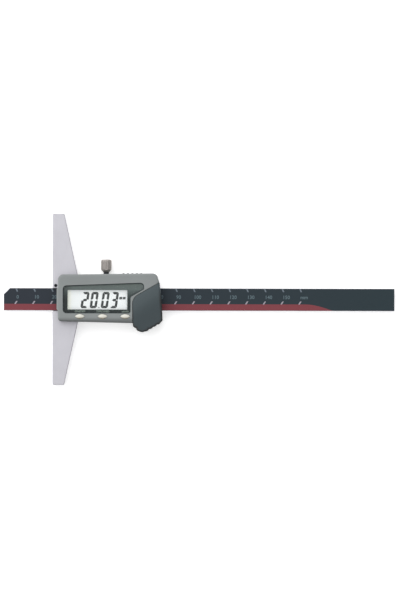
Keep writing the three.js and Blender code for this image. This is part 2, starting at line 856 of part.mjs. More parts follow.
function portOpenings() {
  const half = portLength / 2;
  const halfHigh = portHeight / 2;
  const outside = caseTop + beamWidth;
  const rim = portRim + seatGap;
  const through = block(portX - half, portX + half, railTop, outside, portZ - halfHigh, portZ + halfHigh);
  const recess = block(
    portX - half - rim, portX + half + rim, portPlateBack - seatGap, outside,
    portZ - halfHigh - rim, portZ + halfHigh + rim,
  );
  return [through, recess];
}

function contactSlot() {
  const half = contactWidth / 2 + contactGap;
  const inner = batteryY + batteryRadius;
  return block(
    batteryX - half, batteryX + half, inner, inner + contactFoot + wellWall, 0, deckFront - deckThickness,
  );
}

// Two rails under the cover run in grooves of the deck
function coverRails(gap) {
  const half = coverRailWidth / 2 + gap;
  const low = caseInner - coverRailHeight - gap;
  const left = coverLeft + coverRailIn - gap;
  const right = caseRight + coverGap + gap;
  const ys = [batteryY + wellRadius + coverRailOut, batteryY - wellRadius - coverRailWidth];
  return ys.map((y) => block(left, right, y - half, y + half, low, caseInner + gap));
}

addPiece('case', caseShell(), 'lightPlastic');
caseScrews.forEach(([x, y], index) => {
  const name = `case_screw_${index + 1}`;
  addPiece(name, countersunkScrew(caseScrewLength), 'stainless', [x, y, seatGap], towardsFront);
});

// Window and display
const lensCorners = inset(windowCorners, lensGap);
const view = [viewLeft, viewRight, viewBottom, viewTop];
addPiece('window_lens', slab(lensCorners, lensBack, lensFront), 'acrylic');
const maskLayer = slab(lensCorners, ledgeFront, lensBack);
addPiece('window_mask', cut(maskLayer, block(...view, 0, caseFront)), 'maskInk');

const glassLeft = displayLeft + displayWall;
const glassRight = displayRight - displayWall;
const glassBottom = displayBottom + displayWall;
const glassTop = displayTop - displayWall;
const rearBottom = viewBottom - viewMargin;
const rearTop = viewTop + viewMargin;

function glassPlate(bottom, top, low, high) {
  return block(glassLeft + lensGap, glassRight - lensGap, bottom + lensGap, top - lensGap, low, high);
}

function displayFrame() {
  const rim = glassFront - displayGap;
  const body = block(displayLeft, displayRight, displayBottom, displayTop, boardFront, rim);
  const glassPocket = block(glassLeft, glassRight, glassBottom, glassTop, reflectorBack, caseFront);
  const lowerSlot = block(glassLeft, glassRight, glassBottom, rearBottom, 0, caseFront);
  const upperSlot = block(glassLeft, glassRight, rearTop, glassTop, 0, caseFront);
  const middle = block(
    glassLeft + displayWall, glassRight - displayWall, rearBottom + displayWall, rearTop - displayWall,
    0, caseFront,
  );
  return cut(body, glassPocket, lowerSlot, upperSlot, middle);
}

addPiece('lcd_front_glass', glassPlate(glassBottom, glassTop, glassMiddle, glassFront), 'glass');
addPiece('lcd_rear_glass', glassPlate(rearBottom, rearTop, glassBack, glassMiddle), 'glass');
addPiece('lcd_reflector', glassPlate(rearBottom, rearTop, reflectorBack, glassBack), 'reflector');
addPiece('lcd_frame', displayFrame(), 'darkPlastic');
addPiece('zebra_strip_lower', glassPlate(glassBottom, rearBottom, boardFront, glassMiddle), 'rubber');
addPiece('zebra_strip_upper', glassPlate(rearTop, glassTop, boardFront, glassMiddle), 'rubber');

// Board, with the reading head on its back, and what it carries
function circuitBoard() {
  const body = block(boardLeft, frameRight, railBottom, railTop, railFront, boardFront);
  const readerLeft = frameLeft + bridgeWidth + partGap;
  const reader = block(
    readerLeft, readerLeft + readerLength, -beamHalf + partGap, beamHalf - partGap,
    railFront - readerHeight, boardFront,
  );
  const holes = caseScrews.map(([x, y]) => rodAlongZ(x, y, screwRadius + screwGap, 0, caseFront));
  return cut(join(body, reader), ...holes);
}

function snapDome() {
  const profile = [[0, 0]];
  for (let step = 0; step <= domeSteps; step += 1) {
    const angle = (step / domeSteps) * (Math.PI / 2);
    const height = contactThickness + (domeHeight - contactThickness) * Math.sin(angle);
    profile.push([step === domeSteps ? 0 : domeRadius * Math.cos(angle), height]);
  }
  profile.splice(1, 0, [domeRadius, 0]);
  return turned(profile);
}

function controllerChip() {
  const half = chipSize / 2;
  const middle = viewLeft + chipAlong;
  const corners = rectangle(middle - half, middle + half, -half, half);
  return brokenSlab(corners, boardFront, boardFront + chipHeight, chipEdgeBreak);
}

function timingCrystal() {
  const left = viewLeft + crystalAlong;
  return rodAlongX(0, boardFront + crystalRadius, crystalRadius, left, left + crystalLength);
}

addPiece('circuit_board', circuitBoard(), 'greenBoard');
addPiece('controller_chip', controllerChip(), 'chipResin');
addPiece('timing_crystal', timingCrystal(), 'batterySteel');

function dataPort() {
  const half = portLength / 2 - partGap;
  const high = portZ + portHeight / 2 - portBodyWall;
  const body = block(portX - half, portX + half, railTop - portBodyDepth, railTop, boardFront, high);
  const pocket = block(
    portX - half + portBodyWall, portX + half - portBodyWall, railTop - portPocketDepth, railTop + overrun,
    boardFront + portBodyWall, high - portBodyWall,
  );
  return cut(body, pocket);
}

addPiece('data_port', dataPort(), 'chipResin');

// Battery and its contacts
function buttonCell() {
  const edge = batteryRadius - batteryEdge;
  return turned([
    [0, 0],
    [batteryCapRadius, 0],
    [batteryCapRadius, batteryCapHeight],
    [edge, batteryCapHeight],
    [batteryRadius, batteryCapHeight + batteryEdge],
    [batteryRadius, batteryThickness - batteryEdge],
    [edge, batteryThickness],
    [0, batteryThickness],
  ], discSegments);
}

function negativeContact() {
  const rise = springRoom - contactThickness - contactThickness / 2;
  const half = contactWidth / 2;
  const far = contactFoot + contactFoot;
  return slabAlongX([
    [-far, 0],
    [0, 0],
    [far, rise],
    [far, rise + contactThickness],
    [0, contactThickness],
    [-far, contactThickness],
  ], -half, half);
}

function positiveContact() {
  const half = contactWidth / 2;
  const height = deckFront - deckThickness - partGap - boardFront;
  return slabAlongX([
    [0, 0],
    [contactFoot, 0],
    [contactFoot, contactThickness],
    [contactThickness, contactThickness],
    [contactThickness, height],
    [0, height],
  ], -half, half);
}

addPiece('battery', buttonCell(), 'batterySteel', [batteryX, batteryY, batteryBack], towardsFront);
addPiece('battery_contact_negative', negativeContact(), 'springSteel', [batteryX, batteryY, boardFront]);
addPiece(
  'battery_contact_positive', positiveContact(), 'springSteel',
  [batteryX, batteryY + batteryRadius + contactGap, boardFront],
);

// Battery cover: a plate in the front, an end wall over the beam and the ribbed thumb rest
function batteryCover() {
  const plate = roundedSlab(coverCorners, caseInner, caseFront, coverEdgeRound);
  const skirt = cut(
    slab(coverCorners, coverLift, caseInner + displayGap),
    slab(inset(caseCorners, -coverGap), 0, caseFront),
    block(0, coverRight + overrun, channelBottom - partGap, caseTop, 0, railFront + partGap),
  );
  return join(plate, skirt, ...coverRails(0));
}

addPiece('battery_cover', batteryCover(), 'darkPlastic');

// Buttons: a domed oval cap, a lip behind the front wall and a stem over its snap dome
function button() {
  const flangeHigh = caseInner - partGap;
  const lip = pointedOval(buttonHalfLength + buttonLip, buttonHalfHeight + buttonLipHeight);
  const flange = slab(lip, flangeHigh - buttonFlange, flangeHigh);
  const stemLow = boardFront + domeHeight + buttonTravel + buttonFreePlay;
  const stem = rodAlongZ(0, 0, buttonStemRadius, stemLow, flangeHigh);
  const oval = pointedOval(buttonHalfLength, buttonHalfHeight);
  const rings = [{ points: oval.map(vector), z: flangeHigh - buttonFlange }];
  for (let step = 0; step < domeSteps; step += 1) {
    const angle = (step / domeSteps) * (Math.PI / 2);
    const points = oval.map((corner) => vector(corner).multiplyScalar(Math.cos(angle)));
    rings.push({ points, z: caseFront + buttonRise * Math.sin(angle) });
  }
  return join(loft(rings), flange, stem);
}

['left', 'middle', 'right'].forEach((side, index) => {
  const x = buttonXs[index];
  addPiece(`button_${side}`, button(), 'buttonPlastic', [x, buttonY, 0]);
  addPiece(`button_dome_${side}`, snapDome(), 'springSteel', [x, buttonY, boardFront], towardsFront);
});

// Port cover: a plug with a ribbed plate in the upper side wall
function portCover() {
  const half = portLength / 2;
  const halfHigh = portHeight / 2;
  const plateFront = portPlateBack + portPlateThickness;
  const inner = half - seatGap;
  const innerHigh = halfHigh - seatGap;
  const outer = half + portRim;
  const outerHigh = halfHigh + portRim;
  const plug = block(-inner, inner, portPlateBack - portPlugLength, plateFront, -innerHigh, innerHigh);
  const plate = block(-outer, outer, portPlateBack, plateFront, -outerHigh, outerHigh);
  const ribs = [];
  for (let rib = 0; rib < portRibCount; rib += 1) {
    const x = (rib - (portRibCount - 1) / 2) * portRibPitch;
    const side = portRibWidth / 2;
    const crest = plateFront + portRibHeight;
    ribs.push(block(x - side, x + side, portPlateBack, crest, -halfHigh, halfHigh));
  }
  return join(plug, plate, ...ribs);
}

addPiece('port_cover', portCover(), 'lightPlastic', [portX, 0, portZ]);

// Clamp screw: a brass pad, a stud with a collar and a knurled knob
const padLow = channelTop;
const padHigh = padLow + lockPadLength;
const studLow = padHigh + lockPadGap;
const knobLow = caseTop + caseTopFlare + knobClear;

function lockStud() {
  return turned([
    [0, studLow],
    [lockStudRadius, studLow],
    [lockStudRadius, railTop + partGap],
    [lockCollarRadius, railTop + partGap],
    [lockCollarRadius, knobLow],
    [lockShankRadius, knobLow],
    [lockShankRadius, knobLow + knobBoreDepth - partGap],
    [0, knobLow + knobBoreDepth - partGap],
  ]);
}

function lockKnob() {
  const envelope = turned([
    [0, 0],
    [knobFootRadius, 0],
    [knobRadius, knobConeLength],
    [knobRadius, knobLength - knobChamfer],
    [knobRadius - knobChamfer, knobLength],
    [0, knobLength],
  ], discSegments);
  const corners = [];
  for (let groove = 0; groove < knurlCount; groove += 1) {
    const crest = (2 * groove * Math.PI) / knurlCount;
    const valley = crest + Math.PI / knurlCount;
    const low = knobRadius - knurlDepth;
    corners.push([knobRadius * Math.cos(crest), knobRadius * Math.sin(crest)]);
    corners.push([low * Math.cos(valley), low * Math.sin(valley)]);
  }
  const knurled = solid(slabGeometry(corners, -overrun, knobLength + overrun).rotateX(-Math.PI / 2));
  const bore = rodAlongY(0, 0, lockShankRadius + screwGap, -overrun, knobBoreDepth);
  return cut(envelope.intersect(knurled), bore);
}

addPiece('lock_pad', rodAlongY(0, 0, lockStudRadius, padLow, padHigh), 'bronze', [lockX, 0, lockZ]);
addPiece('lock_stud', lockStud(), 'stainless', [lockX, 0, lockZ]);
addPiece('lock_knob', lockKnob(), 'nickel', [lockX, knobLow, lockZ]);

// Beam with the scale in its front face, the printed film over it and the stop on its back
const statorBack = beamFront - statorThickness;
const stopRight = beamRight - stopInset;
const stopLeft = stopRight - stopLength;
const stopBack = beamBack - backPlateThickness;
const stopScrewX = (stopLeft + stopRight) / 2;
const stopScrewYs = [-stopScrewPitch / 2, stopScrewPitch / 2];

function stopScrewProfile(gap = 0, start = 0) {
  return [
    [0, start],
    [stopScrewHeadRadius + gap, start],
    [stopScrewRadius + gap, stopScrewHeadDepth + gap],
    [stopScrewRadius + gap, stopScrewLength + gap],
    [0, stopScrewLength + gap],
  ];
}

function stopScrewHole(y) {
  const geometry = turnedGeometry(stopScrewProfile(screwGap, 0), smallSegments).rotateX(Math.PI / 2);
  const entry = rodAlongZ(
    stopScrewX, y, stopScrewHeadRadius + screwGap, stopBack - overrun, stopBack + seatGap,
  );
  return join(solid(geometry.translate(stopScrewX, y, stopBack + seatGap)), entry);
}

function beam() {
  const bar = brokenSlab(beamCorners, beamBack, beamFront, beamEdgeBreak);
  const recess = slab(inset(beamCorners, scaleRim), statorBack, beamFront + overrun);
  return cut(bar, recess, ...stopScrewYs.map(stopScrewHole));
}

function beamStop() {
  const plate = block(stopLeft, stopRight, -stopWidth / 2, stopWidth / 2, stopBack, beamBack);
  return cut(plate, ...stopScrewYs.map(stopScrewHole));
}

function stopScrew() {
  const socket = rodAlongY(0, 0, stopScrewSocketRadius, -overrun, stopScrewHeadDepth, hexagonSides);
  return cut(turned(stopScrewProfile()), socket);
}

addPiece('beam', beam(), 'groundSteel');
addPiece('scale_stator', slab(inset(beamCorners, scaleRim + scaleGap), statorBack, beamFront), 'laminate');
addPiece('scale_film', slab(inset(beamCorners, filmMargin), beamFront, filmFront), 'scaleFilm');
addPiece('beam_stop', beamStop(), 'stainless');
['lower', 'upper'].forEach((side, index) => {
  const place = [stopScrewX, stopScrewYs[index], stopBack + seatGap];
  addPiece(`beam_stop_screw_${side}`, stopScrew(), 'stainless', place, towardsFront);
});

export default gauge;
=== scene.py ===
"""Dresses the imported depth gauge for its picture: its finishes, prints, covers, clamp knob and stage."""

import json
import math

import bmesh
import bpy
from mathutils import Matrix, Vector

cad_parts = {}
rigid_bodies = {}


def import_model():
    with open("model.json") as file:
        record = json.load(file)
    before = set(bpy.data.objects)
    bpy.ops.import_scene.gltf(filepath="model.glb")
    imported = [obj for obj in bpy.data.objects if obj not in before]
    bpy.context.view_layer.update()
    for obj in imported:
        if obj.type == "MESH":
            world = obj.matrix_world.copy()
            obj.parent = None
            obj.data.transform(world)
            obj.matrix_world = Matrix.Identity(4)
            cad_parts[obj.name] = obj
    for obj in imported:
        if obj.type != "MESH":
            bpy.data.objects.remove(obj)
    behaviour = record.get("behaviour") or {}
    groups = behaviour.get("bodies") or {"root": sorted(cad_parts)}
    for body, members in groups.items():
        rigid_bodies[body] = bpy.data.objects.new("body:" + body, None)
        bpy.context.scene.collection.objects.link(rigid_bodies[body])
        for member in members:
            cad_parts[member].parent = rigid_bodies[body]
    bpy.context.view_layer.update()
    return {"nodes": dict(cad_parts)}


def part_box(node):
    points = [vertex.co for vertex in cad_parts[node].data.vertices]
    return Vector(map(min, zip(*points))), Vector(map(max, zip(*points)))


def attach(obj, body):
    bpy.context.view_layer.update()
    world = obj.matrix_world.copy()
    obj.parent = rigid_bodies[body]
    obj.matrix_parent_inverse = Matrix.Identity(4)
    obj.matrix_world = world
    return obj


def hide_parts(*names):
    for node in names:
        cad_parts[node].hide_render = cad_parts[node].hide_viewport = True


bl_info = {
    "name": "Digital depth gauge",
    "version": (1, 0, 0),
    "blender": (4, 5, 0),
    "location": "3D View > Sidebar > Depth gauge",
    "description": "Dresses the packed depth gauge and builds its stage",
    "category": "Object",
}

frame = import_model()

MM = 0.001
# What lies nearer than this to a level lies at it.
CLOSE = 0.02 * MM
# The capitals of a text take this share of its size.
CAPITAL_SHARE = 0.72
# The battery cover falls away along this direction, towards its grip, low and at the right, and its colour
# is painted darker along it as shade.
GRIP_LEAN = (0.55, -0.83, 0)
ALONG = (1, 0, 0)
UPWARD = (0, 1, 0)
# A Mix node's colour sockets come after its number sockets, so they are named by their place.
MIX_SHARE = 0
MIX_BELOW = 6
MIX_ABOVE = 7
MIX_RESULT = 2
# The finish of each material slot, made by the first operator.
FINISHES = {}


def linear(code):
    """Turn an sRGB hex colour into the linear values that Blender's sockets take."""
    channels = []
    for start in (1, 3, 5):
        value = int(code[start:start + 2], 16) / 255
        channels.append(value / 12.92 if value <= 0.04045 else ((value + 0.055) / 1.055) ** 2.4)
    return (*channels, 1.0)


def low_of(node):
    """Give the lowest corner of a node of the frame, in metres."""
    return Vector(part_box(node)[0])


def high_of(node):
    """Give the highest corner of a node of the frame, in metres."""
    return Vector(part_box(node)[1])


def mid_of(node):
    """Give the middle of a node of the frame, in metres."""
    return (low_of(node) + high_of(node)) / 2


def number(name, description, value, **more):
    """Make a number that a user can change."""
    return bpy.props.FloatProperty(name=name, description=description, default=value, **more)


def length(name, description, value):
    """Make a size that a user can change, written in millimetres."""
    return number(name, description, value * MM, precision=5, unit="LENGTH")


def colour(name, description, code):
    """Make a colour that a user can change, written as an sRGB hex value."""
    return bpy.props.FloatVectorProperty(name=name, description=description, default=linear(code),
                                         size=4, min=0, max=1, subtype="COLOR")


class GaugeScaleSettings(bpy.types.PropertyGroup):
    """Sizes and colours of the print on the sliding rule."""

    pitch: length("Number pitch", "Distance between two numbered lines", 10)
    stripe_top: length("Stripe top", "Height of the red stripe's edge from the rule's middle", -2.6)
    stripe_end: length("Stripe end", "Where the red stripe starts to run down to the rule's edge", 142.6)
    stripe_fade: length("Stripe fade", "Length over which the red stripe runs out", 15.2)
    first_line: length("First line", "Place of the line numbered zero", -20.8)
    line_width: length("Line stroke", "Stroke of the slanted lines", 0.82)
    number_height: length("Number height", "Height of the numbers", 2.0)
    number_weight: length("Number weight", "How much bolder the numbers are than the plain letter", 0.05)
    ink: length("Ink thickness", "Thickness of the printed ink", 0.02)
    stripe_colour: colour("Stripe colour", "Red of the stripe", "#803F46")
    line_colour: colour("Line colour", "White ink of the lower lines", "#A6A0AA")
    mark_colour: colour("Mark colour", "Grey ink of the upper lines", "#6E7882")
    number_colour: colour("Number colour", "Faint ink of the numbers", "#5F7077")


class GaugeDisplaySettings(bpy.types.PropertyGroup):
    """Sizes and colours of the reading on the display."""

    reading: bpy.props.StringProperty(name="Reading", description="Figures shown", default="20.03")
    figure_left: length("Reading left", "Left edge of the first figure", 15.8)
    figure_foot: length("Reading foot", "Lower edge of the figures", -4.95)
    figure_width: length("Figure width", "Width of a figure", 4.0)
    figure_height: length("Figure height", "Height of a figure", 9.12)
    figure_pitch: length("Figure pitch", "Distance between two figures", 5.15)
    point_gap: length("Point gap", "Room that the decimal point adds", 1.05)
    stroke: length("Segment width", "Width of a segment", 1.35)
    joint_gap: length("Segment gap", "Gap where two segments meet in a corner", 0.03)
    waist_gap: length("Waist gap", "Gap between an upper and a lower upright segment", 0.5)
    slant: number("Slant", "Lean of the figures", math.radians(8), subtype="ANGLE")
    unit_left: length("Unit left", "Left edge of the unit", 37.62)
    unit_foot: length("Unit foot", "Lower edge of the unit", 0.0)
    unit_width: length("Unit width", "Width of one of the unit's letters", 1.6)
    unit_height: length("Unit height", "Height of the unit's letters", 1.4)
    unit_stroke: length("Unit stroke", "Stroke of the unit's letters", 0.5)
    segment_colour: colour("Segment colour", "Dark blue grey of a driven segment", "#1B1E22")
    panel_colour: colour("Panel colour", "Silver white of the reflector", "#F4F7F8")


class GaugeCaseSettings(bpy.types.PropertyGroup):
    """Sizes and colours of the moulded pieces."""

    edge: length("Case edge", "Radius of the case's outer edges", 0.15)
    cover_edge: length("Cover edge", "Radius of the battery cover's edges", 0.25)
    cover_fall: length("Cover fall", "How far the cover's face falls away towards its grip", 0.45)
    # Painted shade: the dark seal stands in for the shade of the window's recess.
    shade_seal_width: length("Seal width", "Width of the dark seal round the window", 0.35)
    seam_edge: length("Seam edge", "Width of the case's slope beside the battery cover", 0.42)
    lip: length("Lip", "How far the case's lip stands out over the rule", 0.7)
    label_height: length("Label height", "Height of the words over the keys", 1.15)
    label_weight: length("Label weight", "How much bolder the words are than the plain letter", 0.06)
    case_colour: colour("Case colour", "Light grey of the case", "#858A8A")
    cover_colour: colour("Cover colour", "Dark grey of the battery cover", "#3F4B4F")
    # Painted shade: the near black laid on the cover's ribbed grip and rim.
    grip_shade_colour: colour("Grip colour", "Near black of the handled thumb ribs", "#171C1D")
    button_colour: colour("Key colour", "Ivory of the keys", "#DFDED4")
    # Painted shade: the yellowish dark laid on the keys' lower edges.
    key_shade_colour: colour("Worn key colour", "Yellowed lower edge of the keys", "#A59C87")
    label_colour: colour("Label colour", "Greenish grey of the words over the keys", "#76827A")


class GaugeMetalSettings(bpy.types.PropertyGroup):
    """Sizes and colours of the metal pieces."""

    edge: length("Steel edge", "Width of the broken edges of the steel pieces", 0.09)
    knurl_depth: length("Knurl depth", "Depth of the knob's diamond knurl", 0.26)
    knurl_pitch: length("Knurl pitch", "Distance between two diamonds round the knob", 1.0)
    base_colour: colour("Base colour", "Hardened steel of the measuring base", "#C3C2C8")
    steel_colour: colour("Steel colour", "Stainless steel of the slider and the rule", "#CFCFD2")
    knob_colour: colour("Knob colour", "Satin nickel of the clamp knob", "#B5AFAB")


class GaugeStageSettings(bpy.types.PropertyGroup):
    """Floor, light and camera."""

    picture_height: length("Picture height", "What the picture takes in at the rule's face", 338.7)
    lens: number("Lens", "Focal length on a 36 mm sensor", 250, unit="CAMERA")
    centre_x: length("Centre across", "Middle of the picture along the rule", 83.33)
    centre_y: length("Centre up", "Middle of the picture across the rule", -0.507)
    roll: number("Roll", "Turn of the camera about its view", math.radians(0.13), subtype="ANGLE")
    floor_size: length("Floor size", "Side of the square floor", 6000)
    key_power: number("Key power", "Power of the soft light", 5.8, unit="POWER")
    fill_power: number("Fill power", "Power of the low light on the left", 1.2, unit="POWER")
    sky_rise: number("Sky rise", "Brightness gained overhead", 0.8)
    sky_side: number("Sky side", "Brightness gained on the left", 0.35)
    sky_edge: number("Sky edge", "Brightness at the horizon", 0.25)
    floor_colour: colour("Floor colour", "Pale floor", "#FAFAFA")


def deselect():
    """Leave edit mode and leave nothing selected."""
    if bpy.context.object and bpy.context.object.mode != "OBJECT":
        bpy.ops.object.mode_set(mode="OBJECT")
    bpy.ops.object.select_all(action="DESELECT")


def work_on(piece):
    """Select one piece alone and make it the active one."""
    deselect()
    bpy.context.view_layer.objects.active = piece
    piece.select_set(True)


def edit(piece):
    """Open a piece in edit mode."""
    work_on(piece)
    bpy.ops.object.mode_set(mode="EDIT")


def pick(piece, test, kind="FACE"):
    """Select, in edit mode, the faces, edges or vertices whose middle passes a test, and count them."""
    bpy.ops.mesh.select_mode(type=kind)
    bpy.ops.mesh.select_all(action="DESELECT")
    mesh = bmesh.from_edit_mesh(piece.data)
    kinds = {
        "FACE": (mesh.faces, lambda face: face.calc_center_median()),
        "EDGE": (mesh.edges, lambda edge: (edge.verts[0].co + edge.verts[1].co) / 2),
        "VERT": (mesh.verts, lambda vertex: vertex.co),
    }
    items, middle = kinds[kind]
    chosen = [item for item in items if test(middle(item), item)]
    for item in chosen:
        item.select_set(True)
    mesh.select_flush_mode()
    bmesh.update_edit_mesh(piece.data)
    return len(chosen)


def at_level(edge, level):
    """Tell whether both ends of an edge lie at a level."""
    return all(abs(vertex.co.z - level) < CLOSE for vertex in edge.verts)


def cut(axis, distance):
    """Cut the whole piece in edit mode across an axis, at a distance along it."""
    bpy.ops.mesh.select_all(action="SELECT")
    bpy.ops.mesh.bisect(plane_co=Vector(axis) * distance, plane_no=axis)


def outward():
    """Turn the faces of the piece in edit mode outwards."""
    bpy.ops.mesh.select_all(action="SELECT")
    bpy.ops.mesh.normals_make_consistent(inside=False)


def rings(steps, centre):
    """Extrude the selected face ring by ring: each step is a move and a scale about a centre."""
    for move, scale in steps:
        bpy.ops.mesh.extrude_region_move(TRANSFORM_OT_translate={"value": move})
        bpy.ops.transform.resize(value=scale, center_override=centre)


def apply_modifier(piece, kind, **settings):
    """Add a modifier with its settings and apply it."""
    work_on(piece)
    bpy.ops.object.modifier_add(type=kind)
    modifier = piece.modifiers[-1]
    for name, value in settings.items():
        setattr(modifier, name, value)
    bpy.ops.object.modifier_apply(modifier=modifier.name)


def smooth(piece, angle=35):
    """Shade a piece smooth up to an angle in degrees."""
    work_on(piece)
    bpy.ops.object.shade_smooth_by_angle(angle=math.radians(angle))
    apply_modifier(piece, "WEIGHTED_NORMAL", keep_sharp=True)


def soften(piece, width, segments, where=lambda spot: True, angle=40):
    """Round the edges of a piece that are sharper than an angle and pass a test, then shade it smooth."""

    def sharp(spot, edge):
        """Find the edges to round."""
        return len(edge.link_faces) == 2 and edge.calc_face_angle(0) >= math.radians(angle) and where(spot)

    edit(piece)
    if pick(piece, sharp, "EDGE"):
        bpy.ops.mesh.bevel(offset=width, segments=segments, affect="EDGES", clamp_overlap=True)
    smooth(piece)


def copy_of_node(node, name):
    """Copy a node's mesh into a new piece, with its triangles joined into whole faces."""
    weld = 0.002 * MM
    flat = math.radians(1)
    piece = bpy.data.objects.new(name, frame["nodes"][node].data.copy())
    piece.data.materials.clear()
    bpy.context.scene.collection.objects.link(piece)
    edit(piece)
    bpy.ops.mesh.select_all(action="SELECT")
    bpy.ops.mesh.remove_doubles(threshold=weld)
    bpy.ops.mesh.dissolve_limited(angle_limit=flat)
    bpy.ops.mesh.customdata_custom_splitnormals_clear()
    outward()
    bpy.ops.object.mode_set(mode="OBJECT")
    return piece


def clear_copy(node, name, below, above):
    """Copy a clear node, its lower and upper faces drawn in so that neither lies in another face."""
    piece = copy_of_node(node, name)
    middle = mid_of(node).z
    edit(piece)
    pick(piece, lambda spot, vertex: spot.z < middle, "VERT")
    bpy.ops.transform.translate(value=(0, 0, below))
    pick(piece, lambda spot, vertex: spot.z > middle, "VERT")
    bpy.ops.transform.translate(value=(0, 0, -above))
    bpy.ops.object.mode_set(mode="OBJECT")
    return piece


def flat_plate(name, outlines, low, high):
    """Model flat shapes of one thickness: filled circles whose corners are moved onto the outlines."""
    deselect()
    bpy.ops.mesh.primitive_circle_add(vertices=len(outlines[0]), radius=MM, fill_type="NGON")
    piece = bpy.context.object
    piece.name = name
    piece.data.name = name
    bpy.ops.object.mode_set(mode="EDIT")
    for index, outline in enumerate(outlines):
        if index:
            bpy.ops.mesh.select_all(action="DESELECT")
            bpy.ops.mesh.primitive_circle_add(vertices=len(outline), radius=MM, fill_type="NGON")
        mesh = bmesh.from_edit_mesh(piece.data)
        corners = [vertex for vertex in mesh.verts if vertex.select]
        for vertex, (x, y) in zip(corners, outline):
            vertex.co = (x, y, low)
        bmesh.update_edit_mesh(piece.data)
    bpy.ops.mesh.select_all(action="SELECT")
    bpy.ops.mesh.extrude_region_move(TRANSFORM_OT_translate={"value": (0, 0, high - low)})
    outward()
    bpy.ops.object.mode_set(mode="OBJECT")
    return piece


def words(name, text, height, spot, low, high, align="CENTER", weight=0.0):
    """Model lettering as a mesh: its capitals' height, its place, its two levels and its weight."""
    deselect()
    bpy.ops.object.text_add(location=(spot[0], spot[1], (low + high) / 2))
    piece = bpy.context.object
    piece.name = name
    piece.data.body = text
    piece.data.size = height / CAPITAL_SHARE
    piece.data.extrude = (high - low) / 2
    piece.data.align_x = align
    piece.data.align_y = "CENTER"
    piece.data.resolution_u = 3
    piece.data.offset = weight
    bpy.ops.object.convert(target="MESH")
    bpy.ops.object.transform_apply(location=True, rotation=True, scale=True)
    return bpy.context.object


def join(pieces, name):
    """Join pieces into one mesh with one name."""
    deselect()
    for piece in pieces:
        piece.select_set(True)
    bpy.context.view_layer.objects.active = pieces[0]
    bpy.ops.object.join()
    pieces[0].name = name
    pieces[0].data.name = name
    return pieces[0]


def dress(piece, body, slot, material, *nodes):
    """Give a piece its finish, its body and the nodes that it stands for; the slot is not used."""
    piece.data.materials.clear()
    piece.data.materials.append(material)
    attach(piece, body)
    if nodes:
        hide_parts(*nodes)


def add(tree, kind, inputs=None, stops=(), **settings):
    """Add a shader node: its properties, its inputs' values or links, and a ramp's places and colours."""
    node = tree.nodes.new("ShaderNode" + kind)
    for name, value in settings.items():
        setattr(node, name, value)
    for key, value in (inputs or {}).items():
        if isinstance(value, bpy.types.NodeSocket):
            tree.links.new(value, node.inputs[key])
        else:
            node.inputs[key].default_value = value
    for index, (position, tone) in enumerate(stops):
        elements = node.color_ramp.elements
        stop = elements[index] if index < len(elements) else elements.new(position)
        stop.position = position
        stop.color = tone
    return node


def start_material(name, **values):
    """Start a material: its tree and its main shader, with uniform values set on the shader's sockets."""
    material = bpy.data.materials.new(name)
    material.use_nodes = True
    tree = material.node_tree
    shader = tree.nodes["Principled BSDF"]
    for key, value in values.items():
        shader.inputs[key.replace("_", " ")].default_value = value
    return material, tree, shader


def cells(tree, *sizes):
    """Give the piece's own coordinates, counted in cells with a size in metres along each axis."""
    place = add(tree, "TexCoord")
    scale = tuple(1 / size for size in sizes)
    return add(tree, "Mapping", {"Vector": place.outputs["Object"], "Scale": scale}).outputs["Vector"]


def pattern(tree, grain, stretch=(1, 1, 1), detail=3.0):
    """Lay a noise on a piece: its grain in metres, and how far it is stretched along each axis."""
    spots = cells(tree, *(grain * part for part in stretch))
    noise = add(tree, "TexNoise", {"Vector": spots, "Scale": 1.0, "Detail": detail, "Roughness": 0.55})
    return noise.outputs["Fac"]


def stripes(tree, spacing):
    """Lay soft stripes along a piece, a distance in metres apart."""
    # A wave texture runs through twenty radians in each unit, so this scale gives one wave in a cell.
    one_wave = math.pi / 10
    spots = cells(tree, spacing, spacing, spacing)
    return add(tree, "TexWave", {"Vector": spots, "Scale": one_wave}, bands_direction="X").outputs["Fac"]


def rise(tree, direction, start, end, low=0.0, high=1.0, coordinates="Object"):
    """Give a value that goes from low to high between two places along a direction."""
    place = add(tree, "TexCoord")
    along = add(tree, "VectorMath", {0: place.outputs[coordinates], 1: direction},
                operation="DOT_PRODUCT")
    value = add(tree, "MapRange", {"Value": along.outputs["Value"], "From Min": start, "From Max": end,
                                   "To Min": low, "To Max": high})
    return value.outputs["Result"]


def shade(tone, factor):
    """Make a colour lighter or darker by a factor."""
    return (*(min(1.0, channel * factor) for channel in tone[:3]), 1.0)


def vary(tree, shader, source, colours=None, roughness=None, height=None, ends=(0.3, 0.7)):
    """Let a grey value vary a surface between its two ends: its colour, its roughness and its relief.

    The colours and the roughness are pairs, and the height is that of the real relief in metres.
    """
    if colours:
        ramp = add(tree, "ValToRGB", {"Fac": source}, zip(ends, colours))
        tree.links.new(ramp.outputs["Color"], shader.inputs["Base Color"])
    if roughness:
        gloss = add(tree, "MapRange", {"Value": source, "From Min": ends[0], "From Max": ends[1],
                                       "To Min": roughness[0], "To Max": roughness[1]})
        tree.links.new(gloss.outputs["Result"], shader.inputs["Roughness"])
    if height:
        bump = add(tree, "Bump", {"Height": source, "Distance": height})
        tree.links.new(bump.outputs["Normal"], shader.inputs["Normal"])


def paint_shade(tree, shader, tone, direction, start, end, limit=None):
    """Lay a painted shade tone over a surface, growing between two places along a direction.

    Where a limit is named, it is an attribute of the mesh that is high where the tone may lie.
    """
    share = rise(tree, direction, start, end)
    if limit:
        marked = add(tree, "Attribute", attribute_name=limit).outputs["Fac"]
        share = add(tree, "Math", {0: share, 1: marked}, operation="MULTIPLY").outputs["Value"]
    unshaded = shader.inputs["Base Color"].links[0].from_socket
    blend = add(tree, "Mix", {MIX_SHARE: share, MIX_BELOW: unshaded, MIX_ABOVE: tone}, data_type="RGBA")
    tree.links.new(blend.outputs[MIX_RESULT], shader.inputs["Base Color"])


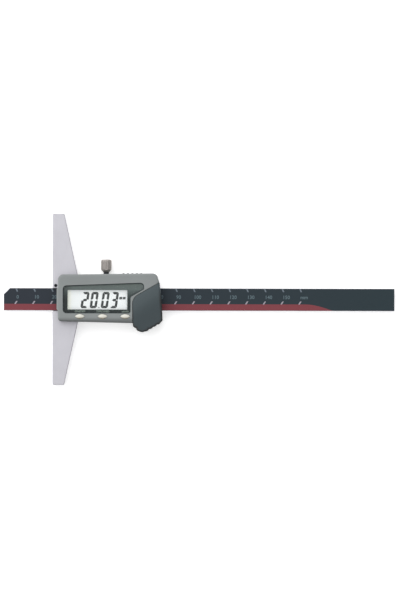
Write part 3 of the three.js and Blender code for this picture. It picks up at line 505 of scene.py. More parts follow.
def even_finish(name, tone, grain, shades, roughness, height=None, stretch=(1, 1, 1), detail=3.0, **values):
    """Make a material that one fine pattern varies: its tone by two factors, its roughness, its relief."""
    material, tree, shader = start_material(name, **values)
    colours = [shade(tone, factor) for factor in shades]
    vary(tree, shader, pattern(tree, grain, stretch, detail), colours, roughness, height)
    return material


def surface_ground_steel(name, tone, stretch):
    """Steel, surface ground: pale, even, with parallel lines that break the gloss.

    The lines are 0.18 mm apart, coarser than the real ones, so that they show.
    """
    material, tree, shader = start_material(name, Metallic=1.0)
    lines = pattern(tree, 0.18 * MM, stretch, detail=4.0)
    clouds = pattern(tree, 9 * MM, detail=2.0)
    vary(tree, shader, clouds, colours=(shade(tone, 0.97), shade(tone, 1.02)))
    vary(tree, shader, lines, roughness=(0.42, 0.54), height=0.004 * MM)
    return material


def black_oxide_steel():
    """Steel with a black oxide bath: near black, a little blue, satin."""
    return even_finish("black_oxide_steel_dipped", linear("#2A2C31"), grain=0.6 * MM, shades=(0.85, 1.25),
                       roughness=(0.36, 0.5), Metallic=0.85)


def turned_screw_steel():
    """Screw steel, turned and nickel washed: bright with faint marks from the lathe."""
    return even_finish("screw_steel_turned", linear("#B9B9BC"), grain=0.25 * MM, shades=(0.9, 1.05),
                       roughness=(0.24, 0.4), height=0.003 * MM, Metallic=1.0)


def scraped_bronze():
    """Tin bronze, scraped flat by hand: warm yellow with dull patches."""
    return even_finish("tin_bronze_scraped", linear("#B08A4C"), grain=0.9 * MM, shades=(0.82, 1.08),
                       roughness=(0.28, 0.5), height=0.005 * MM, Metallic=1.0)


def satin_nickel(tone):
    """Knurled brass with satin nickel plate: warm grey, unevenly worn."""
    return even_finish("nickel_plate_satin", tone, grain=0.7 * MM, shades=(0.86, 1.1),
                       roughness=(0.26, 0.42), detail=4.0, Metallic=1.0)


def painted_shade_case_abs(tone):
    """Spark eroded ABS of the case: a matt, even grain, a slight cloud, and painted shade that darkens its
    lower edge.

    The grain is 0.35 mm, coarser than the real one, so that it shows.
    """
    material, tree, shader = start_material("abs_case_spark_eroded", IOR=1.52)
    clouds = pattern(tree, 14 * MM, detail=1.0)
    vary(tree, shader, clouds, colours=(shade(tone, 0.965), shade(tone, 1.03)))
    # Painted shade: the colour darkens towards the case's lower edge, where its rounding turns from the
    # light.
    unshaded_from = low_of("case").y + 3.4 * MM
    case_shade_below = low_of("case").y + 1.5 * MM
    paint_shade(tree, shader, shade(tone, 0.5), UPWARD, unshaded_from, case_shade_below)
    grain = pattern(tree, 0.35 * MM, detail=2.0)
    vary(tree, shader, grain, roughness=(0.46, 0.58), height=0.02 * MM)
    return material


def painted_shade_cover_abs(tone, grip_shade_tone):
    """Spark eroded ABS of the battery cover, with painted light and shade: lighter at its upper left,
    darker towards its grip, and near black on its ribbed grip and rim.

    The grain is 0.45 mm, coarser than the real one, so that it shows.
    """
    material, tree, shader = start_material("abs_cover_spark_eroded", IOR=1.52)
    light_to_shade_start = 24 * MM
    light_to_shade_end = 38 * MM
    grip_start = 28 * MM
    grip_end = 34 * MM
    # Painted light and shade: lighter at the upper left, darker towards the grip.
    across = rise(tree, GRIP_LEAN, light_to_shade_start, light_to_shade_end)
    vary(tree, shader, across, colours=(shade(tone, 1.1), linear("#27353A")), ends=(0, 1))
    # Painted shade: the ribbed grip and the rim are laid near black, where their walls turn from the light.
    paint_shade(tree, shader, grip_shade_tone, GRIP_LEAN, grip_start, grip_end, limit="painted_shade_rim")
    grain = pattern(tree, 0.45 * MM, detail=2.0)
    vary(tree, shader, grain, roughness=(0.4, 0.52), height=0.025 * MM)
    return material


def satin_key_plastic(tone, key_shade_tone):
    """Polycarbonate keys, moulded satin: ivory, soft highlight, and painted shade that darkens and yellows
    their lower edge.
    """
    material, tree, shader = start_material("polycarbonate_key_satin", IOR=1.58)
    grease = pattern(tree, 1.2 * MM)
    vary(tree, shader, grease, colours=(shade(tone, 0.97), shade(tone, 1.02)), roughness=(0.28, 0.42))
    # Painted shade: the keys darken along their lower edge, where their domes turn from the light.
    unshaded_from = mid_of("button_left").y - 0.25 * MM
    key_shade_below = mid_of("button_left").y - 1.15 * MM
    paint_shade(tree, shader, key_shade_tone, UPWARD, unshaded_from, key_shade_below)
    return material


def inner_moulding():
    """Unpainted ABS of the inner frame: flat grey white, duller than the outside."""
    return even_finish("abs_inner_moulding", linear("#B9BBB8"), grain=2.5 * MM, shades=(0.94, 1.02),
                       roughness=(0.5, 0.66), stretch=(4, 1, 1), IOR=1.52)


def clear_acrylic():
    """Cast acrylic window: clear and glossy with hair scratches that catch the light."""
    material, tree, shader = start_material("acrylic_window_cast", Base_Color=linear("#C6D2D2"), IOR=1.49,
                                            Alpha=0.025, Specular_IOR_Level=0.2)
    scratches = pattern(tree, 0.12 * MM, (60, 1, 1), detail=1.0)
    vary(tree, shader, scratches, roughness=(0.03, 0.14), ends=(0.55, 0.75))
    return material


def window_ink():
    """Black border ink behind the window, with painted light and shade: lighter towards the top as a
    painted reflection, darker at the bottom and the left as painted shade of the recess.
    """
    material, tree, shader = start_material("screen_ink_black", IOR=1.5, Specular_IOR_Level=0.15)
    low = low_of("window_mask")
    high = high_of("window_mask")
    # Painted light and shade: dark at the bottom, lighter towards the top.
    greys = ((0.0, "#151C1D"), (0.45, "#1A2221"), (0.66, "#414B4A"), (0.8, "#596361"), (1.0, "#5E6864"))
    stops = [(position, linear(code)) for position, code in greys]
    upright = add(tree, "ValToRGB", {"Fac": rise(tree, UPWARD, low.y, high.y)}, stops)
    # Painted shade: darker again towards the window's left side.
    left_shade_width = 5 * MM
    left_shade_share = 0.45
    side = rise(tree, ALONG, low.x, low.x + left_shade_width, left_shade_share, 1.0)
    dim = add(tree, "Mix", {MIX_SHARE: 1.0, MIX_BELOW: upright.outputs["Color"], MIX_ABOVE: side},
              data_type="RGBA", blend_type="MULTIPLY")
    tree.links.new(dim.outputs[MIX_RESULT], shader.inputs["Base Color"])
    vary(tree, shader, pattern(tree, 0.5 * MM), roughness=(0.3, 0.45))
    return material


def shade_seal_rubber():
    """Near black seal round the window, standing in for the shade of its recess as painted shade: dull,
    with a dusty bloom.
    """
    return even_finish("shade_seal_nitrile", linear("#2E3637"), grain=0.8 * MM, shades=(0.85, 1.3),
                       roughness=(0.5, 0.68), IOR=1.52, Specular_IOR_Level=0.3)


def display_glass():
    """Soda glass of the liquid crystal cell: clear, very slightly green, with a faint polariser haze."""
    material, tree, shader = start_material("soda_glass_display", Base_Color=linear("#DCE6DC"), IOR=1.52,
                                            Alpha=0.012)
    vary(tree, shader, pattern(tree, 3 * MM), roughness=(0.05, 0.16))
    return material


def silver_reflector(tone):
    """Silvered reflector foil behind the cell: bright, diffuse, faintly yellow green at its left edge, and
    with a painted glow that makes it brighter than its light.
    """
    # Painted light: the foil glows, though it is no lamp.
    material, tree, shader = start_material("reflector_foil_silvered", IOR=1.45, Specular_IOR_Level=0.3,
                                            Emission_Color=linear("#F2F8F8"), Emission_Strength=0.25)
    yellow_to = low_of("lcd_reflector").x + 1.1 * MM
    white_from = low_of("lcd_reflector").x + 3.4 * MM
    edge = rise(tree, ALONG, yellow_to, white_from)
    vary(tree, shader, edge, colours=(linear("#FBFFEC"), tone), ends=(0, 1))
    vary(tree, shader, pattern(tree, 0.25 * MM), roughness=(0.55, 0.7))
    return material


def crystal_segment(tone):
    """Driven liquid crystal: dark blue grey with a slight unevenness."""
    return even_finish("liquid_crystal_dark", tone, grain=1.5 * MM, shades=(0.92, 1.08),
                       roughness=(0.5, 0.62), IOR=1.5)


def striped_rubber():
    """Silicone contact strip with carbon layers: dark stripes in pale rubber.

    The stripes are 0.38 mm apart, coarser than the real ones, so that they show.
    """
    material, tree, shader = start_material("silicone_contact_striped", IOR=1.43, Roughness=0.55)
    vary(tree, shader, stripes(tree, 0.377 * MM), colours=(linear("#D8C9C0"), linear("#1E1E20")),
         ends=(0.45, 0.55))
    return material


def solder_mask_board():
    """Glass epoxy board under green solder mask: copper traces show as lighter straight lines."""
    material, tree, shader = start_material("glass_epoxy_board", IOR=1.5)
    tiles = add(tree, "TexBrick", {"Vector": cells(tree, 1.8 * MM, 0.9 * MM, 1), "Scale": 1.0,
                                   "Mortar Size": 0.09, "Mortar": linear("#3E8A5C"),
                                   "Color1": linear("#1F5A3A"), "Color2": linear("#235F3E")})
    tree.links.new(tiles.outputs["Color"], shader.inputs["Base Color"])
    vary(tree, shader, tiles.outputs["Fac"], height=0.02 * MM)
    vary(tree, shader, pattern(tree, 0.5 * MM), roughness=(0.25, 0.42))
    return material


def chip_resin():
    """Epoxy moulding compound: charcoal, fine sandy surface."""
    return even_finish("epoxy_moulding_compound", linear("#242527"), grain=0.15 * MM, shades=(0.8, 1.3),
                       roughness=(0.5, 0.7), height=0.01 * MM, IOR=1.55)


def drawn_can_steel():
    """Nickel plated steel, deep drawn: smooth and bright with a soft orange peel."""
    return even_finish("nickel_can_drawn", linear("#C9C8C4"), grain=0.8 * MM, shades=(0.95, 1.03),
                       roughness=(0.18, 0.3), height=0.004 * MM, Metallic=1.0)


def rolled_spring_steel():
    """Spring strip, rolled and stamped: yellow grey with lines along the strip."""
    return even_finish("spring_strip_rolled", linear("#BDB9AE"), grain=0.2 * MM, shades=(0.9, 1.05),
                       roughness=(0.24, 0.4), stretch=(12, 1, 1), Metallic=1.0)


def stator_laminate():
    """Glass epoxy scale strip: amber board with a comb of copper electrodes, 0.8 mm apart."""
    material, tree, shader = start_material("scale_laminate_etched", IOR=1.5)
    comb = stripes(tree, 0.798 * MM)
    vary(tree, shader, comb, colours=(linear("#7A6A3A"), linear("#B87B4E")), ends=(0.45, 0.55))
    vary(tree, shader, comb, roughness=(0.3, 0.5))
    return material


def scale_film():
    """Polyester film with slate ink over the electrodes: semi matt, a little paler at its left end."""
    material, tree, shader = start_material("polyester_film_slate", IOR=1.5, Specular_IOR_Level=0.2)
    along = rise(tree, ALONG, low_of("scale_film").x, high_of("scale_film").x)
    vary(tree, shader, along, colours=(linear("#2B313A"), linear("#28363C")), ends=(0, 1))
    fibre = pattern(tree, 0.5 * MM, (6, 1, 1))
    vary(tree, shader, fibre, roughness=(0.42, 0.56), height=0.004 * MM)
    return material


def printed_ink(name, tone):
    """Screen printed ink: flat colour, slightly uneven in thickness."""
    return even_finish(name, tone, grain=0.4 * MM, shades=(0.93, 1.05), roughness=(0.45, 0.6), IOR=1.5,
                       Specular_IOR_Level=0.2)


def pale_floor(tone):
    """Painted board: pale, matt, with a hardly seen fleck."""
    return even_finish("painted_board_pale", tone, grain=60 * MM, shades=(0.995, 1), roughness=(0.7, 0.8),
                       IOR=1.45, Specular_IOR_Level=0.2, Emission_Color=linear("#FFFFFF"),
                       Emission_Strength=0.42)


class GAUGE_OT_own_nodes(bpy.types.Operator):
    """Give every node of the frame the finish of its material slot"""

    bl_idname = "gauge.own_nodes"
    bl_label = "Finish the frame's pieces"

    def execute(self, context):
        metal = context.scene.gauge_metal
        case = context.scene.gauge_case
        lengthwise = (30, 1, 1)
        crosswise = (1, 30, 1)
        FINISHES.update({
            "stainless_steel": surface_ground_steel("stainless_steel_ground_lengthwise",
                                                    metal.steel_colour, lengthwise),
            "ground_steel": surface_ground_steel("hardened_steel_ground_crosswise",
                                                 metal.base_colour, crosswise),
            "black_oxide_steel": black_oxide_steel(),
            "screw_steel": turned_screw_steel(),
            "gib_bronze": scraped_bronze(),
            "knob_nickel": satin_nickel(metal.knob_colour),
            "case_plastic": painted_shade_case_abs(case.case_colour),
            "cover_plastic": painted_shade_cover_abs(case.cover_colour, case.grip_shade_colour),
            "button_plastic": satin_key_plastic(case.button_colour, case.key_shade_colour),
            "inner_plastic": inner_moulding(),
            "window_acrylic": clear_acrylic(),
            "window_ink": window_ink(),
            "display_glass": display_glass(),
            "display_reflector": silver_reflector(context.scene.gauge_display.panel_colour),
            "contact_rubber": striped_rubber(),
            "board_laminate": solder_mask_board(),
            "chip_resin": chip_resin(),
            "can_steel": drawn_can_steel(),
            "spring_steel": rolled_spring_steel(),
            "scale_laminate": stator_laminate(),
            "scale_print": scale_film(),
        })
        for name, piece in frame["nodes"].items():
            slot = piece.material_slots[0].material.name.split(".")[0]
            if slot not in FINISHES:
                raise RuntimeError("no finish for " + name + ": " + slot)
            # Painted shade: the clamp stud is given black oxide, so that the knob's neck reads dark where
            # shade falls.
            if name == "lock_stud":
                slot = "black_oxide_steel"
            piece.material_slots[0].material = FINISHES[slot]
        return {"FINISHED"}


def soft_light(name, place, size, power):
    """Hang a round soft light that looks at the middle of the case."""
    case_middle = Vector((0.04, 0, 0))
    bpy.ops.object.light_add(type="AREA", location=place)
    light = bpy.context.object
    light.name = name
    light.data.shape = "DISK"
    light.data.size = size
    light.data.energy = power
    light.rotation_euler = (case_middle - light.location).to_track_quat("-Z", "Y").to_euler()


def soft_sky(stage):
    """Make a sky that is brightest overhead, and brighter on the left and behind than elsewhere."""
    world = bpy.data.worlds.new("soft_studio")
    bpy.context.scene.world = world
    world.use_nodes = True
    tree = world.node_tree
    left_share = 0.8
    back_share = 0.6
    dimmest = 0.05
    brightest = 2.0
    slope = (-left_share * stage.sky_side, back_share * stage.sky_side, stage.sky_rise)
    glow = rise(tree, slope, dimmest - stage.sky_edge, brightest, dimmest, brightest + stage.sky_edge,
                "Generated")
    sky = tree.nodes["Background"]
    sky.inputs["Color"].default_value = linear("#FFFFFF")
    tree.links.new(glow, sky.inputs["Strength"])


class GAUGE_OT_stage(bpy.types.Operator):
    """Build the floor, the soft light and the camera"""

    bl_idname = "gauge.stage"
    bl_label = "Build the stage"

    def execute(self, context):
        stage = context.scene.gauge_stage
        floor_drop = 0.02 * MM
        deselect()
        bpy.ops.mesh.primitive_plane_add(size=stage.floor_size, location=(0, 0, -floor_drop))
        floor = context.object
        floor.name = "floor"
        bpy.ops.object.transform_apply(location=True, rotation=True, scale=True)
        floor.data.materials.append(pale_floor(stage.floor_colour))

        # The lights' places and sizes are in metres.
        key_place = (-0.35, 0.75, 0.95)
        key_size = 1.5
        fill_place = (-1.0, 0.05, 0.3)
        fill_size = 0.6
        soft_sky(stage)
        soft_light("key_light", key_place, key_size, stage.key_power)
        soft_light("fill_light", fill_place, fill_size, stage.fill_power)

        bpy.ops.object.camera_add()
        camera = context.object
        camera.name = "camera"
        camera.data.lens = stage.lens
        camera.data.sensor_width = 36
        distance = stage.picture_height * stage.lens / camera.data.sensor_width
        level = high_of("scale_film").z
        camera.location = (stage.centre_x, stage.centre_y, level + distance)
        camera.rotation_euler = (0, 0, stage.roll)
        camera.data.clip_start = 0.1
        camera.data.clip_end = 20
        context.scene.camera = camera
        context.scene.view_settings.view_transform = "Standard"
        return {"FINISHED"}


def tick(x, foot, top, lean, stroke):
    """Outline of one slanted line, which leans by a width between its foot and its top."""
    return [(x, foot), (x + stroke, foot), (x + stroke + lean, top), (x + lean, top)]


class GAUGE_OT_scale_print(bpy.types.Operator):
    """Print the stripe, the lines and the numbers on the rule's film"""

    bl_idname = "gauge.scale_print"
    bl_label = "Print the scale"

    def execute(self, context):
        scale = context.scene.gauge_scale
        low = low_of("scale_film")
        face = high_of("scale_film").z
        top = face + scale.ink

        # The stripe's edge starts level and falls most steeply where it runs out.
        steps = 16
        stripe = [(low.x, low.y), (low.x, scale.stripe_top)]
        for step in range(steps + 1):
            part = step / steps
            fall = 1.5 * part * part - 0.5 * part ** 3
            stripe.append((scale.stripe_end + scale.stripe_fade * part,
                           scale.stripe_top + (low.y - scale.stripe_top) * fall))
        red = flat_plate("scale_stripe", [stripe], face, top)
        dress(red, "beam", "scale_print", printed_ink("screen_ink_red", scale.stripe_colour))

        lower_shift = -0.8 * MM
        lower_foot = -2.65 * MM
        lower_top = -1.0 * MM
        lower_lean = 1.05 * MM
        upper_shift = 0.55 * MM
        upper_foot = 4.3 * MM
        upper_top = 6.0 * MM
        upper_lean = -0.7 * MM
        figure_shift = 0.4 * MM
        figure_middle = 1.25 * MM
        last = 16
        lower = []
        upper = []
        figures = []
        for index in range(last + 1):
            x = scale.first_line + index * scale.pitch
            lower.append(tick(x + lower_shift, lower_foot, lower_top, lower_lean, scale.line_width))
            upper.append(tick(x + upper_shift, upper_foot, upper_top, upper_lean, scale.line_width))
            text = "mm" if index == last else str(index * 10)
            figures.append(words("figure", text, scale.number_height, (x + figure_shift, figure_middle),
                                 face, top, "LEFT", scale.number_weight))
        lines = flat_plate("scale_lines", lower, face + scale.ink, top + scale.ink)
        dress(lines, "beam", "scale_print", printed_ink("screen_ink_white", scale.line_colour))
        marks = flat_plate("scale_marks", upper, face, top)
        dress(marks, "beam", "scale_print", printed_ink("screen_ink_grey", scale.mark_colour))
        numbers = join(figures, "scale_numbers")
        dress(numbers, "beam", "scale_print", printed_ink("screen_ink_faint", scale.number_colour))
        return {"FINISHED"}


SEGMENTS = {"0": "abcdef", "1": "bc", "2": "abged", "3": "abgcd", "4": "fgbc", "5": "afgcd",
            "6": "afgedc", "7": "abc", "8": "abcdefg", "9": "abcdfg"}


def segment(kind, width, height, stroke, gap, waist):
    """Outline of one mitred segment of an upright figure, from its lower left corner."""
    corner_share = 0.6
    middle = height / 2
    half = stroke / 2
    corner = stroke * corner_share
    near = (corner - gap) / 2
    far = (corner + gap) / 2
    inner = stroke + gap
    if kind == "g":
        shape = [(half + gap, middle), (inner, middle - half), (width - inner, middle - half),
                 (width - half - gap, middle), (width - inner, middle + half), (inner, middle + half)]
    elif kind in "ad":
        shape = [(inner, stroke), (far, near), (corner, 0), (width - corner, 0), (width - far, near),
                 (width - inner, stroke)]
    else:
        shape = [(0, corner), (near, far), (stroke, inner), (stroke, middle - half - gap),
                 (half, middle - waist / 2), (0, middle - waist / 2)]
    across = kind in "bc"
    above = kind in "abf"
    return [(width - x if across else x, height - y if above else y) for x, y in shape]


def comb_letter(width, height, stroke):
    """Outline of an upright m with three legs, from its lower left corner."""
    middle = (width - stroke) / 2
    last = width - stroke
    arch = height - stroke
    return [(0, 0), (stroke, 0), (stroke, arch), (middle, arch), (middle, 0), (middle + stroke, 0),
            (middle + stroke, arch), (last, arch), (last, 0), (width, 0), (width, height), (0, height)]


class GAUGE_OT_display(bpy.types.Operator):
    """Draw the reading, the decimal point and the unit between the display's two glasses"""

    bl_idname = "gauge.display"
    bl_label = "Draw the reading"

    def execute(self, context):
        display = context.scene.gauge_display
        gap = 0.02 * MM
        glass_edge = 0.08 * MM
        for node, name, finish in (("lcd_front_glass", "lcd_front_glass_cut", "display_glass"),
                                   ("lcd_rear_glass", "lcd_rear_glass_silvered", "display_reflector")):
            glass = clear_copy(node, name, gap, gap)
            soften(glass, glass_edge, 1)
            dress(glass, "slider", "display_glass", FINISHES[finish], node)

        lean = math.tan(display.slant)

        def slanted(outline, left, foot):
            """Lean an outline like the figures and move it to its place."""
            return [(left + across + up * lean, foot + up) for across, up in outline]

        dot_gap = 0.95 * MM
        dot_foot = 0.05 * MM
        dot_top = 0.6 * MM
        dot_width = 0.55 * MM
        outlines = []
        x = display.figure_left
        for sign in display.reading:
            if sign == ".":
                left = x - display.figure_pitch + display.figure_width + dot_gap
                right = left + dot_width
                dot = [(left, dot_foot), (right, dot_foot), (right, dot_top), (left, dot_top)]
                outlines.append(slanted(dot, 0, display.figure_foot))
                x += display.point_gap
                continue
            for kind in SEGMENTS[sign]:
                shape = segment(kind, display.figure_width, display.figure_height, display.stroke,
                                display.joint_gap, display.waist_gap)
                outlines.append(slanted(shape, x, display.figure_foot))
            x += display.figure_pitch

        letter_gap = 0.3 * MM
        letter = comb_letter(display.unit_width, display.unit_height, display.unit_stroke)
        letters = [slanted(letter, left, display.unit_foot) for left in
                   (display.unit_left, display.unit_left + display.unit_width + letter_gap)]
        low = high_of("lcd_rear_glass").z - gap / 2
        high = low + gap
        ink = crystal_segment(display.segment_colour)
        for name, shapes in (("display_reading", outlines), ("display_unit", letters)):
            dress(flat_plate(name, shapes, low, high), "slider", "display_glass", ink)
        return {"FINISHED"}


class GAUGE_OT_steel_pieces(bpy.types.Operator):
    """Break the edges of the measuring base and of the slider frame"""

    bl_idname = "gauge.steel_pieces"
    bl_label = "Finish the steel pieces"

    def execute(self, context):
        width = context.scene.gauge_metal.edge
        # Only what shows is broken: the base beyond the case, and the slider frame's front.
        beyond_case = 13 * MM
        front = 5.3 * MM
        base = copy_of_node("measuring_base", "measuring_base_ground")
        soften(base, width, 2, lambda spot: abs(spot.y) > beyond_case)
        dress(base, "slider", "ground_steel", FINISHES["ground_steel"], "measuring_base")
        slider = copy_of_node("slider_frame", "slider_frame_milled")
        soften(slider, width, 1, lambda spot: spot.z > front)
        dress(slider, "slider", "stainless_steel", FINISHES["stainless_steel"], "slider_frame")
        return {"FINISHED"}


def shade_seal_window(shell, width):
    """Slope the edge round the case's window, and lay a near black copy of the slope in it as painted shade
    of the window's recess.
    """
    face = high_of("case").z
    ledge = low_of("window_mask").z
    margin = Vector((1, 1, 0)) * MM
    near = low_of("window_mask") - margin
    far = high_of("window_mask") + margin
    ledge_slack = 0.05 * MM
    slope_depth = 0.5 * MM
    steepest = 0.3
    flattest = 0.95
    shade_seal_thickness = 0.08 * MM

    def window_edge(spot, edge):
        """Find the edges at the face whose walls end at the window's ledge."""
        lowest = min(vertex.co.z for wall in edge.link_faces for vertex in wall.verts)
        return at_level(edge, face) and abs(lowest - ledge) < ledge_slack

    def window_slope(spot, slope):
        """Find the sloped faces round the window."""
        inside = near.x < spot.x < far.x and near.y < spot.y < far.y
        return inside and steepest < slope.normal.z < flattest and spot.z > face - slope_depth

    edit(shell)
    if not pick(shell, window_edge, "EDGE"):
        raise RuntimeError("the case has no edge round its window")
    bpy.ops.mesh.bevel(offset=width, segments=1, affect="EDGES")
    if not pick(shell, window_slope):
        raise RuntimeError("the case has no slope round its window")
    before = set(bpy.data.objects)
    bpy.ops.mesh.duplicate()
    bpy.ops.mesh.separate(type="SELECTED")
    deselect()
    seal, = set(bpy.data.objects) - before
    seal.name = "window_shade_seal"
    seal.data.name = seal.name
    apply_modifier(seal, "SOLIDIFY", thickness=shade_seal_thickness, offset=1)
    smooth(seal)
    # Painted shade: the near black seal darkens the window's recess.
    dress(seal, "slider", "contact_rubber", shade_seal_rubber())


def slope_seam(shell, width):
    """Slope the case's edges beside the battery cover."""
    face = high_of("case").z
    seam = low_of("battery_cover").x - 0.4 * MM
    steep = math.radians(60)

    def seam_edge(spot, edge):
        """Find the steep edges at the face from the seam on."""
        return at_level(edge, face) and spot.x > seam and edge.calc_face_angle(0) > steep

    edit(shell)
    pick(shell, seam_edge, "EDGE")
    bpy.ops.mesh.bevel(offset=width, segments=2, affect="EDGES")


def push_lip(shell, reach):
    """Push the middle of the case's left wall out over the rule, between two slants."""
    lip_low = -5.9 * MM
    lip_high = 6.3 * MM
    slant = 0.4 * MM
    for level in (lip_low - slant, lip_low + slant, lip_high - slant, lip_high + slant):
        cut(UPWARD, level)
    outer = low_of("case").x + 1.15 * MM

    def in_lip(spot, vertex):
        """Find the left wall's points between the slants."""
        return spot.x < outer and lip_low + slant / 2 < spot.y < lip_high - slant / 2

    pick(shell, in_lip, "VERT")
    bpy.ops.transform.translate(value=(-reach, 0, 0))


def key_words(case):
    """Print the words over the keys on the window's border ink."""
    level = high_of("window_mask").z
    ink = 0.015 * MM
    row = -6.8 * MM
    labels = []
    for node, text in (("button_left", "ON/OFF"), ("button_middle", "ZERO/ABS"), ("button_right", "mm/in")):
        labels.append(words("label", text, case.label_height, (mid_of(node).x, row), level, level + ink,
                            weight=case.label_weight))
    lettering = join(labels, "key_labels")
    dress(lettering, "slider", "window_ink", printed_ink("screen_ink_label", case.label_colour))


class GAUGE_OT_case(bpy.types.Operator):
    """Mould the case with its lip and its dark window seal, laid as painted shade, and print the words over
    the keys
    """

    bl_idname = "gauge.case"
    bl_label = "Mould the case"

    def execute(self, context):
        case = context.scene.gauge_case
        shell = copy_of_node("case", "case_moulded")
        front = high_of("case").z - 0.05 * MM
        shade_seal_window(shell, case.shade_seal_width)
        slope_seam(shell, case.seam_edge)
        push_lip(shell, case.lip)
        soften(shell, case.edge, 3, lambda spot: spot.z > front, angle=55)
        dress(shell, "slider", "case_plastic", FINISHES["case_plastic"], "case")

        lens_gap = 0.03 * MM
        lens_edge = 0.15 * MM
        lens_middle = mid_of("window_lens").z
        lens = clear_copy("window_lens", "window_lens_cast", lens_gap, 0)
        soften(lens, lens_edge, 2, lambda spot: spot.z > lens_middle)
        dress(lens, "slider", "window_acrylic", FINISHES["window_acrylic"], "window_lens")
        key_words(case)
        return {"FINISHED"}


def mark_rim(cover, face):
    """Mark the cover's rim where its painted shade may lie: all points below its face, or next to one below
    it.
    """
    full_drop = 0.09 * MM
    mesh = bmesh.from_edit_mesh(cover.data)
    painted_shade = mesh.verts.layers.float.new("painted_shade_rim")
    for vertex in mesh.verts:
        lowest = min(end.co.z for side in vertex.link_edges for end in side.verts)
        vertex[painted_shade] = min(1.0, (face - lowest) / full_drop)
    bmesh.update_edit_mesh(cover.data)


class GAUGE_OT_covers(bpy.types.Operator):
    """Mould the battery cover with its falling face, and the port cover with its ribs"""

    bl_idname = "gauge.covers"
    bl_label = "Mould the covers"

    def execute(self, context):
        case = context.scene.gauge_case
        cover = copy_of_node("battery_cover", "battery_cover_moulded")
        low = low_of("battery_cover")
        high = high_of("battery_cover")
        cell = 0.75 * MM
        edit(cover)
        for column in range(1, int((high.x - low.x) / cell) + 1):
            cut(ALONG, low.x + column * cell)
        for row in range(1, int((high.y - low.y) / cell) + 1):
            cut(UPWARD, low.y + row * cell)
        mark_rim(cover, high.z)
        # The walls are hidden, so that only the face and its rounded edge follow the fall.
        wall_top = high.z - 1.1 * MM
        grip_start = 37.5 * MM
        fall_reach = 8 * MM
        pick(cover, lambda spot, wall: spot.z < wall_top)
        bpy.ops.mesh.hide()
        pick(cover, lambda spot, vertex: GRIP_LEAN[0] * spot.x + GRIP_LEAN[1] * spot.y > grip_start, "VERT")
        bpy.ops.transform.translate(value=(0, 0, -case.cover_fall), use_proportional_edit=True,
                                    proportional_edit_falloff="SMOOTH", proportional_size=fall_reach)
        bpy.ops.mesh.reveal(select=False)
        rim_foot = high.z - 1.6 * MM
        soften(cover, case.cover_edge, 2, lambda spot: spot.z > rim_foot, angle=50)
        dress(cover, "battery_cover", "cover_plastic", FINISHES["cover_plastic"], "battery_cover")

        # The ribs' crests are worn down and round, as in the photo, where they are hardly a pixel high.
        plug = copy_of_node("port_cover", "port_cover_moulded")
        crest = high_of("port_cover").y
        rib_foot = crest - 0.8 * MM
        crest_foot = crest - 0.05 * MM
        crest_wear = 0.35 * MM
        crest_round = 0.24 * MM
        plug_edge = 0.12 * MM
        edit(plug)
        pick(plug, lambda spot, vertex: spot.y > crest_foot, "VERT")
        bpy.ops.transform.translate(value=(0, -crest_wear, 0))
        soften(plug, crest_round, 3, lambda spot: spot.y > rib_foot)
        soften(plug, plug_edge, 2)
        dress(plug, "port_cover", "cover_plastic", FINISHES["case_plastic"], "port_cover")
        return {"FINISHED"}


def pointed_oval(centre, half_length, half_height):
    """Outline of a pointed oval: two arcs that meet at its tips."""
    count = 14
    radius = (half_length ** 2 + half_height ** 2) / (2 * half_height)
    sweep = math.asin(half_length / radius)
    arc = []
    for step in range(count):
        angle = sweep * (1 - 2 * step / count)
        arc.append((radius * math.sin(angle), radius * math.cos(angle) - radius + half_height))
    return [(centre.x + x, centre.y + y) for x, y in arc + [(-x, -y) for x, y in arc]]


def dome_rings(height):
    """Give the steps that raise a flat top of an outline into a dome of a height."""
    count = 7
    dome_end = math.radians(86)
    steps = []
    last = 0
    for step in range(1, count + 1):
        angle = dome_end * step / count
        rise_by = height * (math.sin(angle) - math.sin(last)) / math.sin(dome_end)
        scale = math.cos(angle) / math.cos(last)
        steps.append(((0, 0, rise_by), (scale, scale, 1)))
        last = angle
    return steps


class GAUGE_OT_keys(bpy.types.Operator):
    """Mould the three domed keys with their flanges and stems"""

    bl_idname = "gauge.keys"
    bl_label = "Mould the keys"

    def execute(self, context):
        flange_low = 11.6 * MM
        flange_high = 12.1 * MM
        rim = 14.0 * MM
        cap_half_length = 2.75 * MM
        cap_half_height = 1.3 * MM
        stem_radius = 1 * MM
        stem_edge = 0.15 * MM
        for node in ("button_left", "button_middle", "button_right"):
            low = low_of(node)
            high = high_of(node)
            centre = mid_of(node)
            outline = pointed_oval(centre, (high.x - low.x) / 2, (high.y - low.y) / 2)
            flange = flat_plate("flange", [outline], flange_low, flange_high)
            outline = pointed_oval(centre, cap_half_length, cap_half_height)
            cap = flat_plate(node + "_domed", [outline], flange_high, rim)
            edit(cap)
            pick(cap, lambda spot, face: spot.z > rim - CLOSE)
            rings(dome_rings(high.z - rim), (centre.x, centre.y, rim))
            deselect()
            stem_height = flange_low - low.z
            bpy.ops.mesh.primitive_cylinder_add(vertices=24, radius=stem_radius, depth=stem_height,
                                                location=(centre.x, centre.y, low.z + stem_height / 2))
            stem = context.object
            bpy.ops.object.transform_apply(location=True, rotation=True, scale=True)
            edit(stem)
            pick(stem, lambda spot, face: spot.z < low.z + CLOSE)
            bpy.ops.mesh.bevel(offset=stem_edge, segments=2, affect="EDGES")
            key = join([cap, flange, stem], node + "_domed")
            smooth(key, angle=50)
            dress(key, node, "button_plastic", FINISHES["button_plastic"], node)
        return {"FINISHED"}


